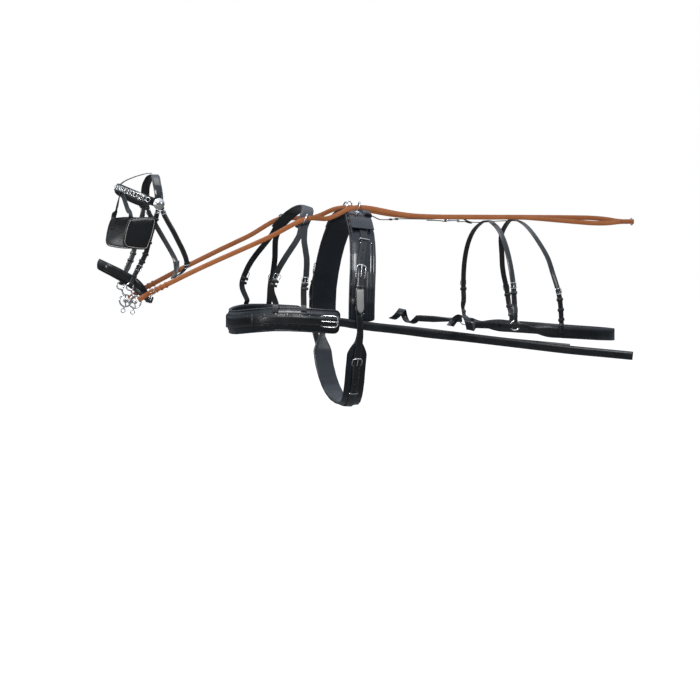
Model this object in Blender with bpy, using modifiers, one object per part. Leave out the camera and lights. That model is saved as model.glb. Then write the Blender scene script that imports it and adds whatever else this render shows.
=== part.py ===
"""A single-horse driving harness as it is worn: bridle and bit, reins, breast collar with neck strap and
traces, harness saddle with shaft tugs and girths, back strap, hip straps and breeching.

Metres, +Z up, -X towards the horse's head, near side (the horse's left) at -Y.
The origin is the seat of the harness saddle, on top of the horse's back.
"""

import copy
import math

import bmesh
import bpy
import numpy as np
from mathutils import Matrix, Vector

# Driving dimensions of the horse that the harness is cut to.
BODY_LENGTH = 1.72
BODY_HALF_WIDTH = 0.31
GIRTH_DEPTH = 0.80
HEAD_LENGTH = 0.50
HEAD_HALF_WIDTH = 0.12
POLL_AHEAD = 0.88
POLL_HEIGHT = 0.15

# Fits and leathers shared by the whole harness.
GAP = 0.0003
LAYER_GAP = 0.0007
WELD = 0.00001
STRAP_THICK = 0.004
SHAFT_DIAMETER = 0.044
REIN_WIDTH = 0.020

BODY_POWER = 2.2
TURN_STEP_DEG = 5.0
LONGEST_STEP = 0.06
NEAR = -1
FAR = 1
SIDES = ((NEAR, "near"), (FAR, "far"))
UP = Vector((0, 0, 1))
TAILWARD = Vector((1, 0, 0))
NEARWARD = Vector((0, -1, 0))

STRAP_TIP_SHARE = 0.25
BUCKLE_SIDE_ROOM = 0.002
BUCKLE_CORNER_SHARE = 0.6
BUCKLE_WIRE = 0.003
TONGUE_WIRE = 0.0022
TONGUE_BEND_SHARES = ((1.2, 0.85), (2.0, 1))
PINCH_SHARE = 4
TAIL_GAP = 0.0013
TAIL_PARTS = 8
# Places at which a strap lies straight in its buckle, in shares of the buckle's length from the bar.
OVER_BUCKLE_SHARES = (0, 0.5, 1, 1.25)

# Along the back, height of the back, height of the belly and half width, in shares of the body's sizes.
BODY_SECTION_SHARES = (
    (-0.35, 0.15, -0.62, 0.39),
    (-0.26, 0.125, -0.75, 0.70),
    (-0.175, 0.075, -0.875, 0.79),
    (-0.087, 0.025, -0.95, 0.855),
    (0, 0, -0.975, 0.89),
    (0.145, -0.056, -0.95, 0.98),
    (0.29, -0.0375, -0.89, 1.015),
    (0.436, -0.0275, -0.84, 1.03),
    (0.58, -0.11, -0.80, 0.87),
    (0.674, -0.375, -0.75, 0.32),
)


def start_scene():
    """Empties the scene and makes one collection for the harness and one for the cutters."""
    for old in list(bpy.data.objects):
        bpy.data.objects.remove(old, do_unlink=True)
    made = []
    for name in ("driving_harness", "cutters"):
        collection = bpy.data.collections.new(name)
        bpy.context.scene.collection.children.link(collection)
        made.append(collection)
    return made


HARNESS, CUTTERS = start_scene()


def finish(name, colour, roughness, metallic):
    material = bpy.data.materials.new(name)
    material.use_nodes = True
    shader = material.node_tree.nodes["Principled BSDF"]
    shader.inputs["Base Color"].default_value = (*colour, 1)
    shader.inputs["Roughness"].default_value = roughness
    shader.inputs["Metallic"].default_value = metallic
    material.diffuse_color = (*colour, 1)
    return material


BLACK_LEATHER = finish("black_leather", (0.012, 0.014, 0.018), 0.42, 0)
RUSSET_LEATHER = finish("russet_leather", (0.42, 0.13, 0.035), 0.5, 0)
PLATED_STEEL = finish("plated_steel", (0.78, 0.78, 0.76), 0.18, 1)


def place(obj, material, collection=HARNESS):
    """Links a new object to its collection, with its material."""
    collection.objects.link(obj)
    obj.data.materials.clear()
    if material:
        obj.data.materials.append(material)
    return obj


def smooth_line(rows, parts):
    """Catmull-Rom curve through rows of numbers."""
    rows = [np.array(row, float) for row in rows]
    rows = [2 * rows[0] - rows[1], *rows, 2 * rows[-1] - rows[-2]]
    made = []
    for before, start, end, after in zip(rows, rows[1:], rows[2:], rows[3:]):
        for k in range(parts):
            t = k / parts
            bend = (2 * before - 5 * start + 4 * end - after) * t * t
            turn = (-before + 3 * start - 3 * end + after) * t**3
            made.append((2 * start + (end - before) * t + bend + turn) / 2)
    return [*made, rows[-2]]


BODY_SECTIONS = np.array(smooth_line(BODY_SECTION_SHARES, 20))


def body_outline(along_share, turn_deg):
    """A point on the horse's body: turn 0 is the middle of the back, 90 the near flank, 180 the belly."""
    top, bottom, half = (np.interp(along_share, BODY_SECTIONS[:, 0], BODY_SECTIONS[:, k]) for k in (1, 2, 3))
    c, s = math.cos(math.radians(turn_deg)), math.sin(math.radians(turn_deg))
    c, s = (math.copysign(abs(v) ** (2 / BODY_POWER), v) for v in (c, s))
    height_share = (top + bottom) / 2 + (top - bottom) / 2 * c
    return Vector((along_share * BODY_LENGTH, -s * half * BODY_HALF_WIDTH, height_share * GIRTH_DEPTH))


def on_body(along_share, turn_deg, lift=0.0, probe_share=0.001):
    """A point at a height over the body, with the direction that faces away from the body there."""
    before, after = (body_outline(along_share + probe, turn_deg) for probe in (-probe_share, probe_share))
    ahead = after - before
    round_it = body_outline(along_share, turn_deg + 1) - body_outline(along_share, turn_deg - 1)
    out = round_it.cross(ahead).normalized()
    return body_outline(along_share, turn_deg) + out * lift, out


def body_point(along_share, side_share, height_share):
    """A point in shares of the body's sizes, side shares counted towards the near side."""
    return Vector((along_share * BODY_LENGTH, -side_share * BODY_HALF_WIDTH, height_share * GIRTH_DEPTH))


def head_point(along_share, side_share, height_share):
    """A point in shares of the head's sizes from the poll, side shares counted towards the near side."""
    return Vector(
        (
            along_share * HEAD_LENGTH - POLL_AHEAD,
            -side_share * HEAD_HALF_WIDTH,
            height_share * HEAD_LENGTH + POLL_HEIGHT,
        )
    )


def over_body(way_shares, base, standoff=0.0, parts=6):
    """Points with outward directions over the body, from (turn, along, share of the standoff) rows."""
    rows = smooth_line([(*row, 0)[:3] for row in way_shares], parts)
    return [on_body(along, turn, base + standoff * max(share, 0)) for turn, along, share in rows]


def facing(points, out):
    """The points with one outward direction, or with the one that out gives for each of them."""
    return [(Vector(p), out(Vector(p)) if callable(out) else Vector(out)) for p in points]


def smooth_points(points, parts=6):
    return [Vector(row) for row in smooth_line(points, parts)]


def smooth_pairs(pairs, parts=5):
    """Points with outward directions, both made into smooth lines."""
    return [(Vector(row[:3]), Vector(row[3:])) for row in smooth_line([(*p, *o) for p, o in pairs], parts)]


def lifted_end(pairs, rise, run):
    """The pairs with their last stretch brought up by a rise."""
    route = Route(pairs)
    lifts = [rise * ease(s, route.length - run, route.length - run / 4) for s in route.lengths]
    return [(p + o * lift, o) for (p, o), lift in zip(pairs, lifts)]


def away_from_line(start, end):
    """Directions that face away from a line."""
    along = (end - start).normalized()
    return lambda p: ((p - start) - along * (p - start).dot(along)).normalized()


def core(shares):
    return away_from_line(*(head_point(*row) for row in shares))


def mirrored(pairs):
    return [(Vector((p.x, -p.y, p.z)), Vector((o.x, -o.y, o.z))) for p, o in pairs]


def sided(pairs, side):
    return pairs if side == NEAR else mirrored(pairs)


def arched(pairs):
    """A near-side line that starts on the middle plane, made into one from near side to far side."""
    return [*reversed(pairs), *mirrored(pairs)[1:]]


def raised(pairs, lift):
    return [(p + o * lift, o) for p, o in pairs]


class Route:
    """A line that a strap follows, with the direction that the strap's outer face looks."""

    def __init__(self, pairs, closed=False):
        if closed:
            pairs = [*pairs, pairs[0]]
        self.pairs = [(Vector(p), Vector(o).normalized()) for p, o in pairs]
        self.closed = closed
        self.lengths = [0.0]
        for (a, _), (b, _) in zip(self.pairs, self.pairs[1:]):
            self.lengths.append(self.lengths[-1] + (b - a).length)
        self.length = self.lengths[-1]
        self.reach = self.length / len(self.pairs) / 2

    def spot(self, s):
        """Point and outward direction at length s. Past an open end the line runs straight on."""
        if self.closed:
            s %= self.length
        i = min(max(int(np.searchsorted(self.lengths, s, side="right")), 1), len(self.pairs) - 1)
        share = (s - self.lengths[i - 1]) / (self.lengths[i] - self.lengths[i - 1])
        (p, o), (q, r) = self.pairs[i - 1], self.pairs[i]
        return p.lerp(q, share), o.lerp(r, min(max(share, 0), 1)).normalized()

    def frame(self, s):
        """Point, direction along, direction across and outward direction at length s."""
        point, out = self.spot(s)
        along = (self.spot(s + self.reach)[0] - self.spot(s - self.reach)[0]).normalized()
        across = out.cross(along).normalized()
        return point, along, across, along.cross(across).normalized()

    def nearest(self, target):
        """The length at which the route passes closest to a point."""
        best = min(range(len(self.pairs)), key=lambda k: (self.pairs[k][0] - target).length)
        spots = [self.lengths[best] + self.reach * k / 10 for k in range(-20, 21)]
        return min(spots, key=lambda s: (self.spot(s)[0] - target).length)

    def at_height(self, height):
        """The first length at which the route crosses a height."""
        for k, (low, high) in enumerate(zip(self.pairs, self.pairs[1:])):
            if (low[0].z - height) * (high[0].z - height) <= 0:
                share = (height - low[0].z) / (high[0].z - low[0].z)
                return self.lengths[k] + share * (self.lengths[k + 1] - self.lengths[k])
        return self.length / 2

    def stations(self, start, end, extra=(), step_deg=TURN_STEP_DEG):
        """Lengths at which a strap needs a row: where its route has turned, and never too far apart."""
        picked = [start]
        _, last_along, _, last_out = self.frame(start)
        for s in (v for v in self.lengths if start < v < end):
            _, along, _, out = self.frame(s)
            turn = math.degrees(max(along.angle(last_along, 0), out.angle(last_out, 0)))
            if turn >= step_deg or s - picked[-1] >= LONGEST_STEP:
                picked.append(s)
                last_along, last_out = along, out
        least = self.reach / 4
        picked = [s for s in picked if s == start or min(s - start, end - s) > least]
        wanted = [s for s in extra if start < s < end]
        picked = [s for s in picked if all(abs(s - w) > least for w in wanted)]
        return sorted([*picked, *wanted, end])


def marks(route, points):
    """Lengths along a route at which it passes some points."""
    return [route.nearest(point) for point in points]


def amount(value, s):
    return value(s) if callable(value) else value


def strap(
    name,
    route,
    width,
    material,
    thick=STRAP_THICK,
    lift=0.0,
    span=None,
    tip=0.0,
    extra=(),
    step_deg=TURN_STEP_DEG,
):
    """A flat strap: an open strip with Solidify. Lift is the height of its inner face over the route."""
    start, end = span or (0.0, route.length)
    wanted = [*extra, end - tip] if tip else list(extra)
    spots = route.stations(start, end, wanted, step_deg)
    if route.closed:
        spots = spots[:-1]
    shell = bmesh.new()
    rows = []
    for s in spots:
        point, _, across, out = route.frame(s)
        half = amount(width, s) / 2
        if tip and s > end - tip:
            half *= STRAP_TIP_SHARE + (1 - STRAP_TIP_SHARE) * (end - s) / tip
        middle = point + out * (amount(lift, s) + thick / 2)
        rows.append([shell.verts.new(middle + across * half * k) for k in (-1, 1)])
    if route.closed:
        rows.append(rows[0])
    for low, high in zip(rows, rows[1:]):
        shell.faces.new((low[0], low[1], high[1], high[0]))
    mesh = bpy.data.meshes.new(name)
    shell.normal_update()
    shell.to_mesh(mesh)
    shell.free()
    obj = place(bpy.data.objects.new(name, mesh), material)
    solid = obj.modifiers.new("thickness", "SOLIDIFY")
    solid.thickness = thick
    solid.offset = 0
    solid.use_even_offset = True
    return obj


# Half of a padded leather section from its bottom middle to its top middle: across and height shares.
PADDED_SHARES = ((0, 0), (0.44, 0), (0.5, 0.18), (0.5, 0.5), (0.42, 0.86), (0.22, 1), (0, 1))


def padded(name, route, width, thick, material, lift=0.0, span=None, extra=(), step_deg=9.0):
    """A stuffed leather piece: a loft of padded sections along the route."""
    start, end = span or (0.0, route.length)
    spots = route.stations(start, end, extra, step_deg)
    if route.closed:
        spots = spots[:-1]
    half = list(PADDED_SHARES)
    ring = [*half[1:-1], *((-a, h) for a, h in reversed(half[1:-1]))]
    work = bmesh.new()
    rows = []
    for s in spots:
        point, _, across, out = route.frame(s)
        base = point + out * amount(lift, s)
        w, t = amount(width, s), amount(thick, s)
        rows.append([work.verts.new(base + across * a * w + out * h * t) for a, h in ring])
    if route.closed:
        rows.append(rows[0])
    for low, high in zip(rows, rows[1:]):
        for k in range(len(ring)):
            n = (k + 1) % len(ring)
            work.faces.new((low[k], low[n], high[n], high[k]))
    if not route.closed:
        work.faces.new(rows[0][::-1])
        work.faces.new(rows[-1])
    bmesh.ops.recalc_face_normals(work, faces=work.faces)
    mesh = bpy.data.meshes.new(name)
    work.to_mesh(mesh)
    work.free()
    return place(bpy.data.objects.new(name, mesh), material)


def wire(name, points, radius, material, closed=False, sides=1):
    """A bent rod: a curve with a round bevel. Each point may have its own share of the radius."""
    curve = bpy.data.curves.new(name, "CURVE")
    curve.dimensions = "3D"
    curve.bevel_depth = radius
    curve.bevel_resolution = sides
    curve.use_fill_caps = True
    spline = curve.splines.new("POLY")
    spline.points.add(len(points) - 1)
    for slot, point in zip(spline.points, points):
        place_at, share = point if isinstance(point, tuple) else (point, 1.0)
        slot.co = (*place_at, 1)
        slot.radius = share
    spline.use_cyclic_u = closed
    return place(bpy.data.objects.new(name, curve), material)


def ease(value, start, end):
    """0 up to start, 1 from end on, and smooth between."""
    share = min(max((value - start) / (end - start), 0), 1)
    return share * share * (3 - 2 * share)


def as_mesh(obj):
    """Replaces a curve object by a mesh object of the same shape, with its caps welded on."""
    graph = bpy.context.evaluated_depsgraph_get()
    graph.update()
    mesh = bpy.data.meshes.new_from_object(obj.evaluated_get(graph))
    work = bmesh.new()
    work.from_mesh(mesh)
    bmesh.ops.remove_doubles(work, verts=work.verts, dist=WELD)
    bmesh.ops.recalc_face_normals(work, faces=work.faces)
    work.to_mesh(mesh)
    work.free()
    name, matrix, owner = obj.name, obj.matrix_world.copy(), obj.users_collection[0]
    bpy.data.objects.remove(obj)
    made = bpy.data.objects.new(name, mesh)
    owner.objects.link(made)
    made.matrix_world = matrix
    return made


def pivoted(obj, point):
    """Gives an object its origin at a point on its joint's axis, with its shape left where it is."""
    obj.data.transform(Matrix.Translation(-point))
    obj.matrix_world = Matrix.Translation(point)
    return obj


def change(target, other, operation):
    """Cuts another object away from the target, or joins it on."""
    step = target.modifiers.new(operation.lower(), "BOOLEAN")
    step.operation = operation
    step.solver = "EXACT"
    step.object = other
    for old in list(other.users_collection):
        old.objects.unlink(other)
    CUTTERS.objects.link(other)
    other.hide_render = True
    other.display_type = "WIRE"
    return target


def stand(point, along, across, out):
    """A matrix at a point, with X along, Y across and Z out."""
    turn = Matrix((along, across, out)).transposed().to_4x4()
    return Matrix.Translation(point) @ turn


def box(name, matrix, size):
    work = bmesh.new()
    bmesh.ops.create_cube(work, size=1)
    bmesh.ops.scale(work, vec=size, verts=work.verts)
    mesh = bpy.data.meshes.new(name)
    work.to_mesh(mesh)
    work.free()
    obj = place(bpy.data.objects.new(name, mesh), None)
    obj.matrix_world = matrix
    return obj


def rod(name, matrix, radius, length, material=None, sides=12):
    """A cylinder along the matrix's Z, centred on it."""
    work = bmesh.new()
    bmesh.ops.create_cone(work, cap_ends=True, segments=sides, radius1=radius, radius2=radius, depth=length)
    mesh = bpy.data.meshes.new(name)
    work.to_mesh(mesh)
    work.free()
    obj = place(bpy.data.objects.new(name, mesh), material)
    obj.matrix_world = matrix
    return obj


def circle(centre, first, second, radius, count=16):
    turns = [2 * math.pi * k / count for k in range(count)]
    return [centre + first * radius * math.cos(a) + second * radius * math.sin(a) for a in turns]


def arc(centre, first, second, radius, start_deg, end_deg, parts=6):
    """Points on an arc: 0 degrees lies at first, 90 at second."""
    angles = [math.radians(start_deg + (end_deg - start_deg) * k / parts) for k in range(parts + 1)]
    return [centre + first * radius * math.cos(a) + second * radius * math.sin(a) for a in angles]


class Buckle:
    """A horseshoe buckle: its bar lies inside the strap that passes through it, and its arch outside.

    Along runs from the bar to the arch. A folded strap, the chape, holds the bar."""

    def __init__(self, frame, towards, length, strap_width):
        """The frame is that of the passing strap's inner face over the bar."""
        point, along, across, out = frame
        self.along, self.across, self.out = along * towards, across * towards, out
        self.length, self.radius, self.tongue = length, BUCKLE_WIRE, TONGUE_WIRE
        self.bar = point - out * (LAYER_GAP + STRAP_THICK + GAP + self.radius)
        self.arch_height = 2 * self.radius + GAP + 2 * LAYER_GAP + 2 * STRAP_THICK
        self.half = strap_width / 2 + BUCKLE_SIDE_ROOM + self.radius

    def at(self, along, across, out):
        """A point measured from the middle of the bar."""
        return self.bar + self.along * along + self.across * across + self.out * out

    def frame(self, name):
        bend, far = self.half * BUCKLE_CORNER_SHARE, self.length
        corner = arc(Vector((far - bend, bend - self.half)), Vector((0, -1)), Vector((1, 0)), bend, 0, 90, 3)
        side = [(0, 0), (0, -self.half), (far / 2, -self.half), *corner]
        outline = [*side, *((a, -b) for a, b in reversed(side[1:]))]
        points = [self.at(a, b, self.arch_height * a / far) for a, b in outline]
        return wire(name, points, self.radius, PLATED_STEEL, closed=True)

    def pin(self, name):
        """The tongue: curled round the bar, out through the leather, and on to the arch."""
        curl = self.radius + GAP + self.tongue
        face = self.radius + 2 * GAP + LAYER_GAP + 2 * STRAP_THICK + self.tongue
        rest = self.arch_height + self.radius + GAP + self.tongue
        points = arc(self.bar, self.along, self.out, curl, -50, -285, 12)
        points += [self.at(curl * share, 0, face * high) for share, high in TONGUE_BEND_SHARES]
        points += [self.at(self.length + self.radius * over, 0, rest) for over in (0, 1)]
        return pivoted(wire(name, points, self.tongue, PLATED_STEEL), self.bar)

    def over(self, along_share):
        """Where the inner face of the passing strap lies, at a share of the buckle's length from the bar."""
        return self.at(self.length * along_share, 0, self.radius + GAP + STRAP_THICK + LAYER_GAP), self.out

    def slot(self, name):
        """A cutter for the opening that the tongue needs in the leather over and round the bar."""
        curl = self.radius + GAP + self.tongue
        start, end = -(curl + self.tongue + GAP), curl * TONGUE_BEND_SHARES[-1][0] + 2 * self.tongue
        size = (end - start, 2 * self.tongue + 4 * GAP, 2 * (self.arch_height + self.radius))
        return box(name, stand(self.at((start + end) / 2, 0, 0), self.along, self.across, self.out), size)


def same_buckle(near, side):
    """The buckle of one side, from the near one."""
    made = copy.copy(near)
    (made.bar, made.along), (_, made.across), (_, made.out) = sided(
        [(near.bar, near.along), (UP, near.across), (UP, near.out)], side
    )
    return made


def folded(pairs, bar, radius, along, out, tail, parts=8):
    """A strap's bar side, carried on round a bar and back on itself for a tail.

    The pairs end at the bar. Out is the side of the strap on which the bar lies."""
    kept = [(p, o) for p, o in pairs if (p - bar).dot(along) < -radius]
    lean = 2 * math.degrees(math.atan(1 / PINCH_SHARE))
    turn = [(p, (bar - p).normalized()) for p in arc(bar, along, out, radius, -90, 90 + lean, parts)]
    main = Route(kept)
    pinch = (PINCH_SHARE - 1) * radius
    lying = [main.spot(main.length - pinch - (tail - pinch) * k / TAIL_PARTS) for k in range(TAIL_PARTS + 1)]
    return [*kept, *turn, *((p + o * TAIL_GAP, -o) for p, o in lying)]


def ring_seat(ring_radius, wire_radius, width):
    """Where a strap of some width lies round a ring: how far its fold's middle is from the ring's centre,
    and the fold's inner radius."""
    inner = math.sqrt((ring_radius - wire_radius) ** 2 - (width / 2) ** 2)
    outer = ring_radius + wire_radius
    return (outer + inner) / 2, (outer - inner) / 2 + GAP


def scaled(shares, *sizes):
    """Rows of shares as lengths, each column by the size that it is a share of."""
    return [tuple(share * size for share, size in zip(row, sizes)) for row in shares]


def turned(name, profile, matrix, material, steps=24):
    """A turned piece: a profile of (radius, height) points, top first, with a Screw modifier."""
    mesh = bpy.data.meshes.new(name)
    points = [(r, 0, h) for r, h in profile]
    mesh.from_pydata(points, [(k, k + 1) for k in range(len(points) - 1)], [])
    obj = place(bpy.data.objects.new(name, mesh), material)
    spin = obj.modifiers.new("turning", "SCREW")
    spin.steps = spin.render_steps = steps
    spin.use_merge_vertices = True
    spin.merge_threshold = WELD
    obj.matrix_world = matrix
    return obj


def outline_plate(name, corners, thick, matrix, material, parts=4):
    """A flat plate from (x, y, corner radius) corners."""
    points = []
    count = len(corners)
    for k, (x, y, radius) in enumerate(corners):
        here = Vector((x, y))
        before = (Vector(corners[k - 1][:2]) - here).normalized()
        after = (Vector(corners[(k + 1) % count][:2]) - here).normalized()
        if not radius:
            points.append(here)
            continue
        for step in range(parts + 1):
            t = step / parts
            start, end = here + before * radius, here + after * radius
            points.append(start * (1 - t) ** 2 + here * 2 * t * (1 - t) + end * t**2)
    curve = bpy.data.curves.new(name, "CURVE")
    curve.dimensions = "2D"
    curve.fill_mode = "BOTH"
    curve.extrude = thick / 2
    spline = curve.splines.new("POLY")
    spline.points.add(len(points) - 1)
    for slot, point in zip(spline.points, points):
        slot.co = (point.x, point.y, 0, 1)
    spline.use_cyclic_u = True
    obj = place(bpy.data.objects.new(name, curve), material)
    obj.matrix_world = matrix
    return as_mesh(obj)


# Harness saddle.
PAD_WIDTH = 0.112
PAD_THICK = 0.018
PAD_TOP_WIDTH_SHARE = 0.78
SEAT_WIDTH = 0.096
SEAT_THICK = 0.005
SEAT_EASE = 0.004
BACKBAND_WIDTH = 0.030
TUG_WIDTH = 0.040
TUG_BUCKLE_LENGTH = 0.058
TUG_WRAP_DEG = 29
TUG_FLARE_M = (0.006, 0.035)
SHAFT_ROOM = 0.001
CANTLE_WIDTH = 0.034
CANTLE_RISE = 0.014
CANTLE_SINK = 0.001
CANTLE_SHARES = ((0, 0.013), (10, 0.012), (20, 0.010))
TERRET_OUT_SHARE = 0.43
TERRET_FORWARD = 0.006
TERRET_RADIUS = 0.019
TERRET_WIRE = 0.0032
HOOK_FORWARD = 0.020
HOOK_HEIGHT = 0.034
HOOK_WIRE = 0.0028
# Forward and up from the foot, in shares of the hook's height.
HOOK_SHARES = ((0, 0.08), (0, 0.45), (0.08, 0.78), (0.32, 0.98), (0.58, 0.86), (0.66, 0.62))
FOOT_RADIUS = 0.011
FOOT_HEIGHT = 0.009
FOOT_OUTLINE_SHARES = ((0, 1), (8 / 22, 1), (9 / 22, 10 / 18), (1, 5 / 18), (1, 0), (0, 0))
# Turn over the body and place along it, and for the backband the share of its full distance from the pad.
PAD_SHARES = (
    (0, -0.001),
    (22, -0.012),
    (38, -0.0155),
    (55, -0.0215),
    (68, -0.0265),
    (82, -0.0315),
    (95, -0.0325),
)
BACKBAND_SHARES = (
    (0, -0.002, 0),
    (22, -0.010, 0.015),
    (44, -0.0155, 0.05),
    (54, -0.0245, 0.20),
    (63, -0.0345, 0.46),
    (73, -0.0415, 0.76),
    (83, -0.0465, 0.97),
    (91, -0.048, 1),
)
SEAT_SHARES = ((0, -0.001, 0), (12, -0.007, 0.25), (22, -0.012, 0.6), (37, -0.0155, 1))
TUG_BAR_SHARE = -0.315
SHAFT_HEIGHT_SHARE = -0.41
SHAFT_BORE = SHAFT_DIAMETER + 2 * SHAFT_ROOM
TUG_STANDOFF = 2 * STRAP_THICK + SHAFT_BORE + 3 * LAYER_GAP
SEAT_BASE = PAD_THICK + STRAP_THICK + 2 * LAYER_GAP

BACKBAND_PAIRS = over_body(BACKBAND_SHARES, PAD_THICK + LAYER_GAP, TUG_STANDOFF)
BACKBAND = Route(BACKBAND_PAIRS)
TUG_BAR_AT = BACKBAND.at_height(TUG_BAR_SHARE * GIRTH_DEPTH)
SHAFT_AT = BACKBAND.at_height(SHAFT_HEIGHT_SHARE * GIRTH_DEPTH)


def tug_buckle(side):
    route = Route(sided(BACKBAND_PAIRS, side))
    return Buckle(route.frame(TUG_BAR_AT), -1, TUG_BUCKLE_LENGTH, BACKBAND_WIDTH)


def shaft_centre(side):
    """Where the middle of the cart's shaft lies in its tug, with the frame of the backband beside it."""
    point, along, across, out = Route(sided(BACKBAND_PAIRS, side)).frame(SHAFT_AT)
    return point - out * (LAYER_GAP + STRAP_THICK + SHAFT_BORE / 2), along, across, out


def shaft_tug(side, word, buckle):
    """The loop that carries a shaft: round the buckle's bar, down outside the shaft, under it and up."""
    route = Route(sided(BACKBAND_PAIRS, side))
    centre, along, _, out = shaft_centre(side)
    outer = [route.frame(s) for s in np.linspace(TUG_BAR_AT, SHAFT_AT, 7)[1:]]
    plies = [(point - o * (LAYER_GAP + STRAP_THICK), o) for point, _, _, o in outer]
    under = arc(centre, out, along, SHAFT_BORE / 2, TUG_WRAP_DEG / 3, 180 + TUG_WRAP_DEG, 12)
    top = arc(buckle.bar, buckle.out, buckle.along, buckle.radius + GAP, 180 - TUG_WRAP_DEG, 0, 8)
    loop = plies + [(p, (p - centre).normalized()) for p in under]
    loop += [(p, (p - buckle.bar).normalized()) for p in top]

    def width(s):
        from_bar = abs(whole.spot(s)[0].z - buckle.bar.z)
        return BACKBAND_WIDTH + (TUG_WIDTH - BACKBAND_WIDTH) * ease(from_bar, *TUG_FLARE_M)

    whole = Route(loop, closed=True)
    return strap(f"shaft_tug_{word}", whole, width, BLACK_LEATHER)


def make_saddle():
    pad = Route(arched(over_body(PAD_SHARES, 0.0)))
    middle = pad.length / 2

    def pad_width(s):
        return PAD_WIDTH * min(1, PAD_TOP_WIDTH_SHARE + abs(s - middle) / middle)

    padded("saddle_pad", pad, pad_width, PAD_THICK, BLACK_LEATHER)

    backband = strap("backband", Route(arched(BACKBAND_PAIRS)), BACKBAND_WIDTH, BLACK_LEATHER)
    seat = Route(arched(over_body(SEAT_SHARES, SEAT_BASE, SEAT_EASE)))
    top = strap("saddle_seat", seat, SEAT_WIDTH, BLACK_LEATHER, thick=SEAT_THICK)
    cantle = over_body(CANTLE_SHARES, SEAT_BASE + SEAT_THICK - CANTLE_SINK)
    rise = padded("cantle", Route(arched(cantle)), CANTLE_WIDTH, CANTLE_RISE, None)
    change(top, rise, "UNION")

    centres = {}
    for side, word in SIDES:
        buckle = tug_buckle(side)
        buckle.frame(f"tug_buckle_{word}")
        buckle.pin(f"tug_tongue_{word}")
        change(backband, buckle.slot(f"backband_slot_{word}"), "DIFFERENCE")
        tug = shaft_tug(side, word, buckle)
        change(tug, buckle.slot(f"tug_slot_{word}"), "DIFFERENCE")
        place_on_seat = seat_spot(seat, seat.length * (1 + side * TERRET_OUT_SHARE) / 2, TERRET_FORWARD)
        centres[side] = turret(f"terret_{word}", *place_on_seat)
    check_hook(*seat_spot(seat, seat.length / 2, HOOK_FORWARD))
    return seat, centres


def seat_spot(seat, s, forward):
    """A place on the seat's outer face, with the directions along the seat, forward and out."""
    point, along, ahead, out = seat.frame(s)
    return point + ahead * forward + out * (SEAT_THICK + GAP), along, ahead, out


def footed(name, point, along, ahead, out):
    outline = scaled(FOOT_OUTLINE_SHARES, FOOT_RADIUS, FOOT_HEIGHT)
    return turned(name, outline, stand(point, ahead, out.cross(ahead), out), PLATED_STEEL, 16)


def turret(name, point, along, ahead, out):
    """A rein ring on a round foot, screwed to the saddle."""
    foot = footed(name, point, along, ahead, out)
    centre = point + out * (FOOT_HEIGHT - TERRET_WIRE / 2 + TERRET_RADIUS)
    round_it = circle(centre, out, along, TERRET_RADIUS, 20)
    ring = as_mesh(wire(f"{name}_ring", round_it, TERRET_WIRE, None, closed=True, sides=2))
    change(foot, ring, "UNION")
    return centre


def check_hook(point, along, ahead, out):
    """The hook at the top of the saddle, on a foot like the terrets'."""
    foot = footed("check_hook", point, along, ahead, out)
    rows = smooth_line([(x * HOOK_HEIGHT, z * HOOK_HEIGHT) for x, z in HOOK_SHARES], 4)
    points = [point + ahead * x + out * z for x, z in rows]
    change(foot, as_mesh(wire("hook", points, HOOK_WIRE, None, sides=2)), "UNION")


SEAT, SADDLE_TERRETS = make_saddle()


# Girth, bellyband and the billets that hold the tugs down.
GIRTH_WIDTH = 0.085
GIRTH_THICK = 0.012
GIRTH_POINT_WIDTH = 0.030
GIRTH_POINT_THICK = 0.005
GIRTH_WIDENS_M = (0.055, 0.115)
GIRTH_SHARES = (
    (96.6, -0.0335),
    (104, -0.037),
    (111, -0.0395),
    (122, -0.040),
    (134, -0.037),
    (149, -0.032),
    (180, -0.020),
)
BELLYBAND_SHARES = (
    (180, -0.020, 0),
    (165, -0.027, 0),
    (152, -0.032, 0.05),
    (142, -0.035, 0.55),
    (133, -0.0375, 1),
    (123, -0.040, 1),
    (119, -0.0405, 1),
)
BELLYBAND_STANDOFF = 0.011
GIRTH_BAR_TURN_DEG = 124
GIRTH_BUCKLE_LENGTH = 0.040
CHAPE_TAIL = 0.045
# Side, height and along shares of the billet between the tug and the girth buckle.
BILLET_SHARES = ((-0.048, 1.068, -0.495), (-0.0475, 1.074, -0.54), (-0.0465, 1.072, -0.59))
BILLET_END_SHARES = ((125.5, -0.0397, 1), (131, -0.0385, 1), (136, -0.0373, 0.9))
BILLET_DROP = 0.014
BILLET_TIP = 0.016
BILLET_WIDTH = 0.028


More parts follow.
